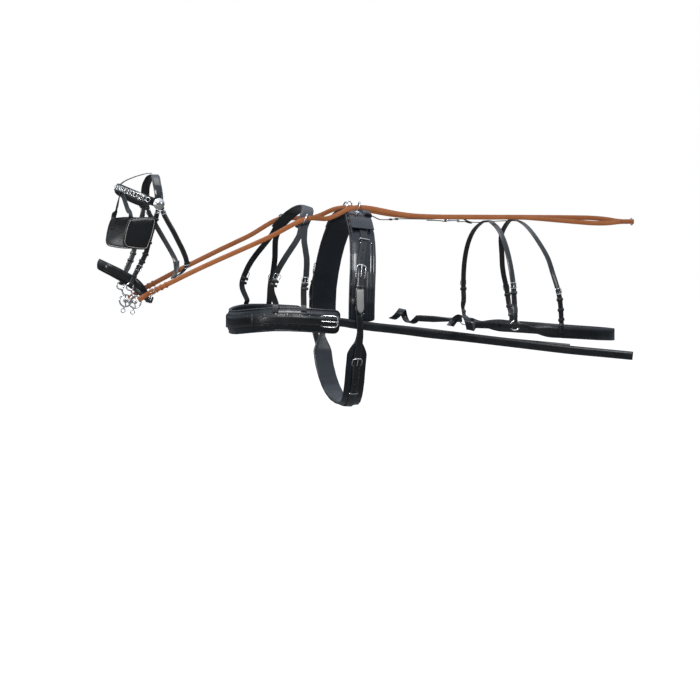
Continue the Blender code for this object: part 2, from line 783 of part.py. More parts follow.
def make_girth():
    girth = Route(arched([*reversed(over_body(GIRTH_SHARES, 0.0))]))

    def share(s):
        return ease(min(s, girth.length - s), *GIRTH_WIDENS_M)

    padded(
        "girth",
        girth,
        lambda s: GIRTH_POINT_WIDTH + (GIRTH_WIDTH - GIRTH_POINT_WIDTH) * share(s),
        lambda s: GIRTH_POINT_THICK + (GIRTH_THICK - GIRTH_POINT_THICK) * share(s),
        BLACK_LEATHER,
    )

    lying = over_body(BELLYBAND_SHARES, GIRTH_THICK + LAYER_GAP, BELLYBAND_STANDOFF)
    billet_base = GIRTH_THICK + STRAP_THICK + 2 * LAYER_GAP
    half = Route(lying)
    bar_height = on_body(BELLYBAND_SHARES[-2][1], GIRTH_BAR_TURN_DEG)[0].z
    passing = Route(raised(lying, STRAP_THICK + LAYER_GAP))
    frame = passing.frame(passing.at_height(bar_height))
    near = Buckle(frame, 1, GIRTH_BUCKLE_LENGTH, BACKBAND_WIDTH)
    face = [(p, -o) for p, o in half.pairs]
    held = folded(face, near.bar, near.radius + GAP, near.along, -near.out, CHAPE_TAIL)
    band = strap("bellyband", Route(arched(held)), BACKBAND_WIDTH, BLACK_LEATHER, lift=-STRAP_THICK)

    for side, word in SIDES:
        buckle = same_buckle(near, side)
        buckle.frame(f"girth_buckle_{word}")
        buckle.pin(f"girth_tongue_{word}")
        change(band, buckle.slot(f"bellyband_slot_{word}"), "DIFFERENCE")

        centre, _, _, _ = shaft_centre(NEAR)
        start = centre - UP * (SHAFT_BORE / 2 + STRAP_THICK + 2 * LAYER_GAP)
        middle = [body_point(x, y, z) for x, y, z in BILLET_SHARES]
        down = facing(smooth_points([start, start - UP * BILLET_DROP, *middle]), NEARWARD)
        down += [near.over(share) for share in reversed(OVER_BUCKLE_SHARES)]
        down += over_body(BILLET_END_SHARES, billet_base, BELLYBAND_STANDOFF)
        route = Route(sided(down, side))
        wanted = marks(route, [buckle.over(share)[0] for share in OVER_BUCKLE_SHARES])
        name = f"bellyband_billet_{word}"
        billet = strap(name, route, BILLET_WIDTH, BLACK_LEATHER, tip=BILLET_TIP, extra=wanted)
        change(billet, buckle.slot(f"billet_slot_{word}"), "DIFFERENCE")


make_girth()


# Breast collar, with the strap on it that holds the trace buckles, and the traces.
COLLAR_WIDTH = 0.100
COLLAR_THICK = 0.022
BREAST_STRAP_WIDTH = 0.048
TRACE_WIDTH = 0.036
TRACE_BUCKLE_LENGTH = 0.074
TRACE_TIP = 0.030
TRACE_END_SLOT = (0.028, 0.010)
TRACE_SLOT_INSET = 0.030
TRACE_TAIL = 0.050
BREAST_RISE = 0.0115
BREAST_RISE_M = (0.150, 0.055)
BREAST_NARROWS_M = (0.110, 0.040)
TRACE_TIP_AHEAD = 0.245
COLLAR_SHARES = (
    (-0.305, 0, -0.545),
    (-0.301, 0.19, -0.543),
    (-0.288, 0.40, -0.535),
    (-0.2645, 0.575, -0.527),
    (-0.2325, 0.695, -0.521),
    (-0.192, 0.78, -0.522),
    (-0.145, 0.845, -0.528),
    (-0.099, 0.89, -0.535),
    (-0.0875, 0.9005, -0.537),
)
COLLAR_STATION_STEP = 3
COLLAR_AXIS_SHARES = ((-0.09, 0, 0), (-0.09, 0, -1))
TRACE_BAR_SHARE = -0.1395
TRACE_SHARES = (
    (-0.035, 1.045, -0.555),
    (0.058, 1.07, -0.579),
    (0.129, 1.10, -0.6),
    (0.2145, 1.12, -0.62),
    (0.363, 1.145, -0.66),
    (0.474, 1.16, -0.69),
)
TRACE_END_SHARES = ((0.570, 1.168, -0.7113), (0.644, 1.168, -0.7278))
COLLAR_PAIRS = facing(
    smooth_points([body_point(*row) for row in COLLAR_SHARES]),
    away_from_line(*(body_point(*row) for row in COLLAR_AXIS_SHARES)),
)
COLLAR_HALF = Route(COLLAR_PAIRS)
COLLAR = Route(arched(COLLAR_PAIRS))


def over_collar(lift):
    """The collar's line from the middle to its near end, at a height over its outer face."""
    near_half = reversed(COLLAR.lengths[: len(COLLAR_PAIRS)])
    frames = [COLLAR.frame(s) for s in near_half]
    return [(p + out * (COLLAR_THICK + lift), out) for p, _, _, out in frames]


def trace_buckle():
    """The near trace buckle. Its bar is held by the breast strap, and its arch looks to the rear."""
    base = Route(over_collar(LAYER_GAP + BREAST_RISE + STRAP_THICK + LAYER_GAP))
    at = min(range(len(base.pairs)), key=lambda k: abs(base.pairs[k][0].x - TRACE_BAR_SHARE * BODY_LENGTH))
    return Buckle(base.frame(base.lengths[at]), 1, TRACE_BUCKLE_LENGTH, TRACE_WIDTH), COLLAR_HALF.lengths[at]


def make_collar():
    padded("breast_collar", COLLAR, COLLAR_WIDTH, COLLAR_THICK, BLACK_LEATHER)

    near, bar_at = trace_buckle()
    faces = []
    for (p, out), s in zip(over_collar(LAYER_GAP), COLLAR_HALF.lengths):
        rise = BREAST_RISE * ease(s, bar_at - BREAST_RISE_M[0], bar_at - BREAST_RISE_M[1])
        faces.append((p + out * rise, out))
    turned_in = [(p, -o) for p, o in faces]
    held = folded(turned_in, near.bar, near.radius + GAP, near.along, -near.out, TRACE_TAIL)
    breast = Route(arched(held))
    bar_in_strap = breast.nearest(near.bar)

    def breast_width(s):
        from_bar = abs(min(s, breast.length - s) - bar_in_strap)
        inner = s > bar_in_strap and s < breast.length - bar_in_strap
        wide = ease(from_bar, BREAST_NARROWS_M[1], BREAST_NARROWS_M[0]) if inner else 0
        return TRACE_WIDTH + (BREAST_STRAP_WIDTH - TRACE_WIDTH) * wide

    shared = [p for p, _ in faces[::COLLAR_STATION_STEP] if p.x < near.bar.x - TRACE_TAIL]
    wanted = marks(breast, [*shared, *(Vector((p.x, -p.y, p.z)) for p in shared[1:])])
    band = strap("breast_strap", breast, breast_width, BLACK_LEATHER, lift=-STRAP_THICK, extra=wanted)

    rear = [body_point(*row) for row in (*TRACE_SHARES, TRACE_END_SHARES[0])]
    lying = [(p + o * (STRAP_THICK + LAYER_GAP), o) for p, o in faces]
    tip_at, held_to = bar_at - TRACE_TIP_AHEAD, bar_at - near.radius
    ahead = [pair for pair, s in zip(lying, COLLAR_HALF.lengths) if tip_at < s < held_to]
    passing = [near.over(share) for share in OVER_BUCKLE_SHARES]
    run = smooth_points([passing[-1][0], *rear])
    for side, word in SIDES:
        buckle = same_buckle(near, side)
        buckle.frame(f"trace_buckle_{word}")
        buckle.pin(f"trace_tongue_{word}")
        change(band, buckle.slot(f"breast_slot_{word}"), "DIFFERENCE")
        way = [*ahead, *passing, *facing([*run[1:], body_point(*TRACE_END_SHARES[1])], NEARWARD)]
        route = Route(sided([*reversed(way)], side))
        name = f"trace_{word}"
        held_at = marks(route, [buckle.over(share)[0] for share in OVER_BUCKLE_SHARES])
        on_strap = [p for p, _ in sided(lying[::COLLAR_STATION_STEP], side) if p.x < passing[0][0].x]
        wanted = (2 * TRACE_SLOT_INSET, *held_at, *marks(route, on_strap))
        trace = strap(name, route, TRACE_WIDTH, BLACK_LEATHER, tip=TRACE_TIP, extra=wanted)
        change(trace, buckle.slot(f"trace_slot_{word}"), "DIFFERENCE")
        end = route.frame(TRACE_SLOT_INSET)
        slot = box(f"trace_end_slot_{word}", stand(*end), (*TRACE_END_SLOT, 4 * STRAP_THICK))
        change(trace, slot, "DIFFERENCE")


make_collar()


# Neck strap: a padded arch over the withers, and the four straps that carry the breast collar.
NECK_PAD_WIDTH = 0.052
NECK_PAD_THICK = 0.012
NECK_STRAP_WIDTH = 0.024
NECK_SINK = 0.0012
NECK_RINGS_TURN_DEG = 40
NECK_RING_RADIUS = 0.0215
NECK_RING_WIRE = 0.003
NECK_RING_BAR = 0.024
SLEEVE_LENGTH = 0.018
SLEEVE_RADIUS = 0.0062
NECK_PAD_SHARES = ((0, -0.125), (15, -0.1335), (29.3, -0.147), (40, -0.161), (46, -0.168))
NECK_FRONT_SHARES = (
    (34, -0.157),
    (44, -0.168),
    (49, -0.172),
    (56.5, -0.182),
    (74.5, -0.218),
    (86, -0.238),
    (94, -0.247),
)
NECK_REAR_SHARES = (
    (34, -0.150),
    (44, -0.159),
    (50, -0.163),
    (57.3, -0.166),
    (68, -0.163),
    (79, -0.166),
    (86, -0.172),
)
# Places on the collar: share along its near half, and heights over its middle in shares of its width.
NECK_FRONT_ON_COLLAR = (0.50, ((0.68, 0.56), (0.55, 0.71), (0.42, 0.875), (0.29, 0.965)))
NECK_REAR_ON_COLLAR = (0.715, ((0.68, 0.56), (0.55, 0.71), (0.42, 0.875), (0.34, 0.925)))


def onto_collar(along_share, heights):
    """The end of a neck strap, lying over the collar's top edge."""
    point, _, _, out = COLLAR_HALF.frame(COLLAR_HALF.length * along_share)
    made = []
    for height, over in heights:
        made.append((point + UP * (height * COLLAR_WIDTH) + out * (over * COLLAR_THICK + LAYER_GAP), out))
    return made


def make_neck_strap():
    pad_half = over_body(NECK_PAD_SHARES, 0.0)
    pad = Route(arched(pad_half))
    whole = padded("neck_strap", pad, NECK_PAD_WIDTH, NECK_PAD_THICK, BLACK_LEATHER)
    sunk = NECK_PAD_THICK - NECK_SINK
    for word, shares, end in (
        ("front", NECK_FRONT_SHARES, NECK_FRONT_ON_COLLAR),
        ("rear", NECK_REAR_SHARES, NECK_REAR_ON_COLLAR),
    ):
        rows = [p for p, _ in over_body(shares, sunk, parts=1)]
        outs = [o for _, o in over_body(shares, sunk, parts=1)]
        ending = onto_collar(*end)
        way = smooth_pairs([*zip(rows, outs), *ending])
        for side, side_word in SIDES:
            leg = strap(f"neck_{word}_{side_word}", Route(sided(way, side)), NECK_STRAP_WIDTH, None)
            change(whole, leg, "UNION")

    centres = {}
    for side, word in SIDES:
        s = pad.length / 2 * (1 + side * NECK_RINGS_TURN_DEG / NECK_PAD_SHARES[-1][0])
        point, along, across, out = pad.frame(s)
        centre = point + out * (NECK_PAD_THICK + SLEEVE_RADIUS - NECK_SINK)
        tube = stand(centre, across, out, along)
        sleeve = rod(f"neck_sleeve_{word}", tube, SLEEVE_RADIUS, SLEEVE_LENGTH)
        bore = rod(f"neck_bore_{word}", tube, NECK_RING_WIRE + GAP, NECK_RING_BAR)
        change(whole, sleeve, "UNION")
        change(whole, bore, "DIFFERENCE")
        bar = NECK_RING_BAR / 2
        rise = math.sqrt(NECK_RING_RADIUS**2 - bar**2)
        start = math.degrees(math.atan2(-rise, bar))
        loop = arc(centre + out * rise, along, out, NECK_RING_RADIUS, start, 180 - start, 18)
        ring = wire(f"neck_terret_{word}", loop, NECK_RING_WIRE, PLATED_STEEL, closed=True, sides=2)
        pivoted(ring, centre)
        centres[side] = centre + out * rise
    return centres


NECK_TERRETS = make_neck_strap()


# Bit: two ringed cheeks joined by a straight mouthpiece that turns in their hubs.
BIT_SIDE = 0.090
BIT_RING_SHARES = (-0.17, -0.99)
# How far to the rear of the ring's middle and above it the two small rings are.
BIT_TOP = (-0.021, 0.062)
BIT_RING = (0, 0)
BIT_LOW = (-0.010, -0.0415)
BIT_TOP_RADIUS = 0.015
BIT_TOP_WIRE = 0.003
BIT_RING_RADIUS = 0.025
BIT_RING_WIRE = 0.0035
BIT_LOW_RADIUS = 0.009
BIT_LOW_WIRE = 0.0025
BIT_HUB_RADIUS = 0.009
BIT_HUB_LENGTH = 0.012
BIT_PIN_RADIUS = 0.005
BIT_HEAD_RADIUS = 0.008
BIT_HEAD_LENGTH = 0.006
BIT_BAR_RADIUS = 0.0075
BIT_WAIST_RADIUS = 0.0062
BIT_WAIST_SHARE = 0.45


def bit_spot(from_ring, side):
    behind, above = from_ring
    along, height = BIT_RING_SHARES
    ring = head_point(along, 0, height)
    return Vector((ring.x + behind, side * BIT_SIDE, ring.z + above))


def sideways(point, out=NEARWARD):
    """A matrix at a point whose Z looks sideways."""
    return stand(point, TAILWARD, out.cross(TAILWARD), out)


def make_bit():
    for side, word in SIDES:
        top, ring, low = (bit_spot(place, side) for place in (BIT_TOP, BIT_RING, BIT_LOW))
        around = circle(ring, UP, TAILWARD, BIT_RING_RADIUS, 24)
        cheek = as_mesh(wire(f"bit_cheek_{word}", around, BIT_RING_WIRE, None, True, 2))
        cheek.data.materials.clear()
        cheek.data.materials.append(PLATED_STEEL)
        upward, downward = (top - ring).normalized(), (low - ring).normalized()
        neck = [ring + upward * BIT_RING_RADIUS, top - upward * BIT_TOP_RADIUS]
        tail = [ring + downward * BIT_RING_RADIUS, low - downward * BIT_LOW_RADIUS]
        joined = [
            wire("bit_top", circle(top, UP, TAILWARD, BIT_TOP_RADIUS, 16), BIT_TOP_WIRE, None, True, 2),
            wire("bit_low", circle(low, UP, TAILWARD, BIT_LOW_RADIUS, 12), BIT_LOW_WIRE, None, True, 1),
            wire("bit_neck", neck, BIT_RING_WIRE, None),
            wire("bit_tail", tail, BIT_TOP_WIRE, None),
            wire("bit_bar", [ring + UP * BIT_RING_RADIUS, ring - UP * BIT_RING_RADIUS], BIT_TOP_WIRE, None),
        ]
        for piece in joined:
            change(cheek, as_mesh(piece), "UNION")
        change(cheek, rod("bit_hub", sideways(ring), BIT_HUB_RADIUS, BIT_HUB_LENGTH, sides=16), "UNION")
        bore = rod("bit_bore", sideways(ring), BIT_PIN_RADIUS + GAP, 2 * BIT_HUB_LENGTH, sides=16)
        change(cheek, bore, "DIFFERENCE")

    inner = BIT_SIDE - BIT_HUB_LENGTH / 2 - GAP
    outer = BIT_SIDE + BIT_HUB_LENGTH / 2 + GAP
    end = outer + BIT_HEAD_LENGTH
    half = [
        (0, end),
        (BIT_HEAD_RADIUS, end),
        (BIT_HEAD_RADIUS, outer),
        (BIT_PIN_RADIUS, outer),
        (BIT_PIN_RADIUS, inner),
        (BIT_BAR_RADIUS, inner),
        (BIT_WAIST_RADIUS, inner * BIT_WAIST_SHARE),
    ]
    profile = [*half, *((r, -h) for r, h in reversed(half))]
    middle = bit_spot(BIT_RING, 0)
    turned("mouthpiece", profile, sideways(middle), PLATED_STEEL, 16)


make_bit()


# Bridle.
HEAD_CORE = core(((0, 0, -0.20), (-0.20, 0, -0.90)))
CROWN_CORE = core(((-1, 0, -0.20), (1, 0, -0.20)))
THROAT_CORE = core(((-0.10, 0, -0.45), (0.86, 0, -0.19)))
HEAD_STRAP_THICK = 0.003
TEMPLE_LAYER = HEAD_STRAP_THICK + LAYER_GAP
CROWN_WIDTH = 0.036
BROWBAND_WIDTH = 0.034
CHAIN_WIDTH = 0.024
CHAIN_NOTCH = 0.005
CHAIN_THICK = 0.002
CHAIN_LINKS = 18
CHEEK_WIDTH = 0.021
CHEEK_THICK = 0.006
CHEEK_TOP_WIDTH = 0.013
CHEEK_FOLD_WIDTH = 0.016
CHEEK_TAIL = 0.045
# Below the poll.
CHEEK_WIDENS_M = (0.120, 0.140)
NOSEBAND_WIDTH = 0.036
NOSEBAND_JAW_WIDTH = 0.025
NOSEBAND_THICK = 0.008
THROAT_WIDTH = 0.021
CROWN_SHARES = (
    (0.032, 0, 0.037),
    (0.024, 0.40, 0.020),
    (0.014, 0.73, -0.030),
    (0.013, 0.90, -0.070),
    (0.016, 1.0, -0.130),
    (0.016, 1.0, -0.215),
)
BROWBAND_SHARES = (
    (-0.276, 0, -0.058),
    (-0.264, 0.33, -0.066),
    (-0.22, 0.667, -0.092),
    (-0.134, 0.90, -0.132),
    (-0.06, 0.985, -0.163),
    (-0.01, 1.0, -0.18),
)
CHEEK_SHARES = (
    (-0.004, 1.0, -0.19),
    (-0.004, 1.0, -0.27),
    (-0.046, 0.985, -0.412),
    (-0.072, 0.93, -0.514),
    (-0.096, 0.86, -0.606),
    (-0.152, 0.745, -0.728),
    (-0.190, 0.645, -0.81),
)
THROAT_SHARES = (
    (0.19, 0, -0.80),
    (0.244, 0.46, -0.744),
    (0.256, 0.77, -0.65),
    (0.156, 0.96, -0.454),
    (0.052, 1.0, -0.27),
    (0.040, 1.0, -0.19),
)
NOSEBAND_SHARES = (
    (-0.428, 0, -0.674),
    (-0.40, 0.417, -0.696),
    (-0.33, 0.557, -0.732),
    (-0.21, 0.598, -0.794),
    (-0.114, 0.557, -0.868),
    (-0.04, 0.333, -0.95),
    (-0.004, 0, -0.984),
)
# Below the poll.
NOSEBAND_NARROWS_M = (0.41, 0.47)
STAY_WIDTH = 0.020
STAY_SHARES = ((-0.250, 0, -0.112), (-0.240, 0.25, -0.126), (-0.236, 0.58, -0.180), (-0.233, 0.85, -0.232))
FOREHEAD_SHARES = (
    (-0.2494, 0, -0.120),
    (-0.2615, 0, -0.058),
    (-0.214, 0, -0.010),
    (-0.120, 0, 0.030),
    (-0.030, 0, 0.0545),
    (0.012, 0, 0.0560),
)
FOREHEAD_WIDTH = 0.026
FOREHEAD_THICK = 0.0026
ROSETTE_SHARES = (0.012, 0, -0.192)
ROSETTE_RADIUS = 0.024
ROSETTE_HEIGHT = 0.011
ROSETTE_DOME_SHARES = ((0, 1), (9 / 24, 21 / 22), (16 / 24, 15 / 22), (19 / 24, 8 / 22), (1, 5 / 22))
ROSETTE_OUTLINE_SHARES = (*ROSETTE_DOME_SHARES, (1, 0), (0, 0))
WINKER_FLARE_DEG = 14
WINKER_THICK = 0.006
WINKER_BELOW_POLL = 0.210
WINKER_REAR_TOP = 0.062
WINKER_REAR_LOW = 0.075
WINKER_REAR_ROUND = 0.014
WINKER_TOP_LENGTH = 0.1235
WINKER_FRONT_TOP = 0.030
WINKER_TOP_ROUND = 0.020
WINKER_LOW_LENGTH = 0.121
WINKER_FRONT_LOW = 0.0914
WINKER_LOW_ROUND = 0.036
# Forward and up from the cheekpiece, with the corner radius.
WINKER_CORNERS = (
    (0, WINKER_REAR_TOP, WINKER_REAR_ROUND),
    (WINKER_TOP_LENGTH, WINKER_FRONT_TOP, WINKER_TOP_ROUND),
    (WINKER_LOW_LENGTH, -WINKER_FRONT_LOW, WINKER_LOW_ROUND),
    (0, -WINKER_REAR_LOW, WINKER_REAR_ROUND),
)
STAY_FORWARD = 0.110
STAY_RISE = 0.044
STAY_INSET = 0.0085
# Forward, up and in from the winker's inner face.
STAY_END_SHARES = (
    (1, 1, 1),
    (109 / 110, 24 / 44, 25 / 85),
    (108 / 110, 4 / 44, 3 / 85),
    (107 / 110, -12 / 44, 0),
)


def head_line(shares, faces):
    return facing(smooth_points([head_point(*row) for row in shares]), faces)


def cheek_line():
    """The outer face of the near cheekpiece, down to the fold round the bit's top ring."""
    face = raised(head_line(CHEEK_SHARES, HEAD_CORE), 2 * TEMPLE_LAYER + CHEEK_THICK)
    ring = bit_spot(BIT_TOP, NEAR)
    reach, radius = ring_seat(BIT_TOP_RADIUS, BIT_TOP_WIRE, CHEEK_FOLD_WIDTH)
    along = ring - face[-1][0]
    along = (along - NEARWARD * along.dot(NEARWARD)).normalized()
    return face, folded(face, ring - along * reach, radius, along, NEARWARD, CHEEK_TAIL)


def make_bridle():
    crown = raised(head_line(CROWN_SHARES, CROWN_CORE), TEMPLE_LAYER)
    strap("crownpiece", Route(arched(crown)), CROWN_WIDTH, BLACK_LEATHER, thick=HEAD_STRAP_THICK)

    brow = Route(arched(head_line(BROWBAND_SHARES, HEAD_CORE)))
    strap("browband", brow, BROWBAND_WIDTH, BLACK_LEATHER, thick=HEAD_STRAP_THICK)
    inset = ROSETTE_RADIUS
    link = (brow.length - 2 * inset) / CHAIN_LINKS
    spots = [inset + link * k / 2 for k in range(1, 2 * CHAIN_LINKS)]

    def chain_width(s):
        return CHAIN_WIDTH - CHAIN_NOTCH * (math.cos(2 * math.pi * (s - inset) / link) + 1) / 2

    span = (inset, brow.length - inset)
    lift = HEAD_STRAP_THICK + GAP
    strap("browband_chain", brow, chain_width, PLATED_STEEL, CHAIN_THICK, lift, span, extra=spots)

    spread = 1 + (2 * TEMPLE_LAYER + LAYER_GAP) / HEAD_HALF_WIDTH
    throat = [(Vector((p.x, p.y * spread, p.z)), o) for p, o in head_line(THROAT_SHARES, THROAT_CORE)]
    whole = Route(arched(throat))

    def throat_width(s):
        share = ease(POLL_HEIGHT - whole.spot(s)[0].z, *CHEEK_WIDENS_M)
        return CHEEK_TOP_WIDTH + (THROAT_WIDTH - CHEEK_TOP_WIDTH) * share

    strap("throatlatch", whole, throat_width, BLACK_LEATHER, thick=HEAD_STRAP_THICK)

    nose = arched(head_line(NOSEBAND_SHARES, HEAD_CORE))[:-1]
    nose = Route(nose, closed=True)

    def nose_width(s):
        share = ease(POLL_HEIGHT - nose.spot(s)[0].z, *NOSEBAND_NARROWS_M)
        return NOSEBAND_WIDTH + (NOSEBAND_JAW_WIDTH - NOSEBAND_WIDTH) * share

    padded("noseband", nose, nose_width, NOSEBAND_THICK, BLACK_LEATHER)

    face, held = cheek_line()
    fold_start = len([pair for pair in held if pair in face])
    plate = None
    for side, word in SIDES:
        route = Route(sided(held, side))
        fold_at = route.lengths[fold_start]

        def cheek_width(s, route=route, fold_at=fold_at):
            top = 1 - ease(POLL_HEIGHT - route.spot(s)[0].z, *CHEEK_WIDENS_M)
            low = ease(s, fold_at - CHEEK_TAIL, fold_at - CHEEK_TAIL / 3)
            cut_high = (CHEEK_WIDTH - CHEEK_TOP_WIDTH) * top
            cut_low = (CHEEK_WIDTH - CHEEK_FOLD_WIDTH) * low
            return CHEEK_WIDTH - cut_high - cut_low

        strap(f"cheekpiece_{word}", route, cheek_width, BLACK_LEATHER, thick=CHEEK_THICK, lift=-CHEEK_THICK)
        base = head_point(*ROSETTE_SHARES)
        base.y = side * (face[0][0].y * NEAR + LAYER_GAP)
        outline = scaled(ROSETTE_OUTLINE_SHARES, ROSETTE_RADIUS, ROSETTE_HEIGHT)
        turned(f"rosette_{word}", outline, sideways(base, NEARWARD * -side), PLATED_STEEL)
        frame = winker_frame(Route(sided(face, side)), side)
        outline_plate(f"winker_{word}", WINKER_CORNERS, WINKER_THICK, frame, BLACK_LEATHER)
        plate = plate or frame

    lap = -(WINKER_THICK / 2 + HEAD_STRAP_THICK + LAYER_GAP)
    normal = plate.to_3x3() @ Vector((0, 0, 1))
    outward = normal if normal.dot(NEARWARD) > 0 else -normal
    rows = scaled(STAY_END_SHARES, STAY_FORWARD, STAY_RISE, STAY_INSET)
    ends = [(plate @ Vector((x, y, 0)) + outward * (lap - inset), outward) for x, y, inset in rows]
    stay = smooth_pairs([*facing([head_point(*row) for row in STAY_SHARES], HEAD_CORE), *ends])
    whole = strap("winker_stay", Route(arched(stay)), STAY_WIDTH, BLACK_LEATHER, thick=HEAD_STRAP_THICK)
    forehead = Route(head_line(FOREHEAD_SHARES, core(((0, 0, -0.40), (0, 1, -0.40)))))
    change(whole, strap("winker_stay_top", forehead, FOREHEAD_WIDTH, None, thick=FOREHEAD_THICK), "UNION")


def winker_frame(cheek, side):
    """A matrix at the cheekpiece: X forward and flared, Y up along it, Z square to the winker."""
    point, down, _, out = cheek.frame(cheek.at_height(POLL_HEIGHT - WINKER_BELOW_POLL))
    up = -down
    ahead = out.cross(up) * -side
    flare = math.radians(WINKER_FLARE_DEG)
    forward = ahead * math.cos(flare) + out * math.sin(flare)
    square = out * math.cos(flare) - ahead * math.sin(flare)
    centre = point + out * LAYER_GAP + square * (WINKER_THICK / 2)
    return stand(centre, forward, up, forward.cross(up))


make_bridle()


# Reins, from the bit's rings through the terrets to the buckle that joins their hand ends.
REIN_THICK = 0.0035
REIN_SAG = 0.004
REIN_TAIL = 0.060
REIN_RISE = math.radians(30)
REIN_HAND_TAIL = 0.040
REIN_FRONT_SHARES = (
    (-0.522, 0.355, -0.379),
    (-0.496, 0.371, -0.353),
    (-0.4325, 0.42, -0.285),
    (-0.375, 0.452, -0.228),
    (-0.3145, 0.516, -0.1695),
    (-0.236, 0.565, -0.094),
)
REIN_MIDDLE_SHARES = (-0.0895, 0.42, -0.006)
REIN_REAR_SHARES = {
    NEAR: (
        (0.138, 0.25, 0.006),
        (0.345, 0.20, -0.002),
        (0.43, 0.17, -0.0035),
        (0.620, 0.070, -0.034),
        (0.68, 0.040, -0.029),
    ),
    FAR: (
        (0.138, 0.25, 0.006),
        (0.345, 0.20, -0.001),
        (0.43, 0.17, -0.0015),
        (0.620, 0.070, -0.006),
        (0.68, 0.040, -0.020),
    ),
}
REIN_END_BEHIND = 1.25
REIN_END_DROP = 0.0205
REIN_BUCKLE_LENGTH = 0.024
REIN_BUCKLE_HEIGHT = 0.033
REIN_BUCKLE_WIRE = 0.0025


def make_reins():
    """Each rein is folded round its bit ring and round an upright bar of the joining buckle."""
    centre = TAILWARD * REIN_END_BEHIND - UP * REIN_END_DROP
    half_width, half_height = REIN_BUCKLE_LENGTH / 2, REIN_BUCKLE_HEIGHT / 2
    corners = [(-1, 0), (-1, -1), (1, -1), (1, 1), (-1, 1)]
    outline = [centre + NEARWARD * half_width * -a + UP * half_height * b for a, b in corners]
    wire("rein_buckle", outline, REIN_BUCKLE_WIRE, PLATED_STEEL, closed=True, sides=2)
    reach, radius = ring_seat(BIT_RING_RADIUS, BIT_RING_WIRE, REIN_WIDTH)
    for side, word in SIDES:
        ring = bit_spot(BIT_RING, NEAR)
        neck, saddle = (sided([(spots[side], UP)], side)[0][0] for spots in (NECK_TERRETS, SADDLE_TERRETS))
        saddle = saddle - UP * REIN_SAG
        from_ring = Vector((math.cos(REIN_RISE), 0, math.sin(REIN_RISE)))
        hand = centre + NEARWARD * half_width
        turn = REIN_BUCKLE_WIRE + GAP
        points = [
            ring + from_ring * (BIT_RING_RADIUS + 2 * radius) - NEARWARD * radius,
            *(body_point(*row) for row in REIN_FRONT_SHARES),
            neck,
            body_point(*REIN_MIDDLE_SHARES),
            saddle,
            *(body_point(*row) for row in REIN_REAR_SHARES[side]),
            hand - NEARWARD * turn - TAILWARD * REIN_HAND_TAIL,
            hand - NEARWARD * turn,
        ]
        line = facing(smooth_points(points, 4), NEARWARD)
        line = folded(line, hand, turn, TAILWARD, NEARWARD, REIN_HAND_TAIL)
        front = folded([*reversed(line)], ring + from_ring * reach, radius, -from_ring, NEARWARD, REIN_TAIL)
        route = Route(sided([*reversed(front)], side))
        strap(f"rein_{word}", route, REIN_WIDTH, RUSSET_LEATHER, thick=REIN_THICK, lift=-REIN_THICK)


make_reins()


# Back strap, snap and croup strap.
BACK_WIDTH = 0.025
BACK_START_WIDTH = 0.014
BACK_FOLD_WIDTH = 0.020
# Behind the middle of the saddle.
BACK_WIDENS_M = (0.120, 0.170)
BACK_THICK = 0.0035
BACK_TAIL = 0.050
BACK_STARTS_M = (0.0215, 0.050)
BACK_DROP = 0.010
SNAP_BEHIND = 0.400
SNAP_DROP = 0.0145
SNAP_EYE = TAILWARD * SNAP_BEHIND - UP * SNAP_DROP
# Places in shares of the way back to the snap, and heights in shares of the back strap's drop.
BACK_LINE_SHARES = (
    (0.205, -0.1),
    (0.28, -1.3),
    (0.4125, -1.05),
    (0.5875, -1),
    (0.75, -1.15),
    (0.925, -1.12),
)
SNAP_WIRE = 0.003
SNAP_EYE_LENGTH = 0.014
SNAP_EYE_WIDTH = 0.031
# Corners of the eye, from the middle of its front bar.
SNAP_EYE_SHARES = ((0, 0), (0, -0.5), (1, -0.5), (1, 0.5), (0, 0.5))
SNAP_HOOK_SIDE = 0.009
SNAP_LENGTH = 0.050
SNAP_BEND_RADIUS = 0.011
SNAP_TIP = 0.006
SNAP_PIVOT_BEHIND = 0.0215
SNAP_LUG_LENGTH = 0.012
SNAP_LUG_WIDTH = 0.0085
SNAP_LUG_HEIGHT = 0.0024
SNAP_LUG_BACK = 0.0035
SNAP_PIN = 0.0015
GATE_EYE_RADIUS = 0.0035
GATE_HALF = 0.00175
GATE_ARM = 0.0017
CROUP_FOLD_WIDTH = 0.012
CROUP_WIDTH = 0.024
# Behind the eye of the snap.
CROUP_WIDENS_M = (0.065, 0.110)
CROUP_TAIL = 0.040
CROUP_TIP = 0.018
CROUP_LIFT = 0.0125
CROUP_SHARES = ((0.288, 1), (0.300, 0.4), (0.325, 0.072), (0.36, 0.072), (0.40, 0.072), (0.428, 0.072))


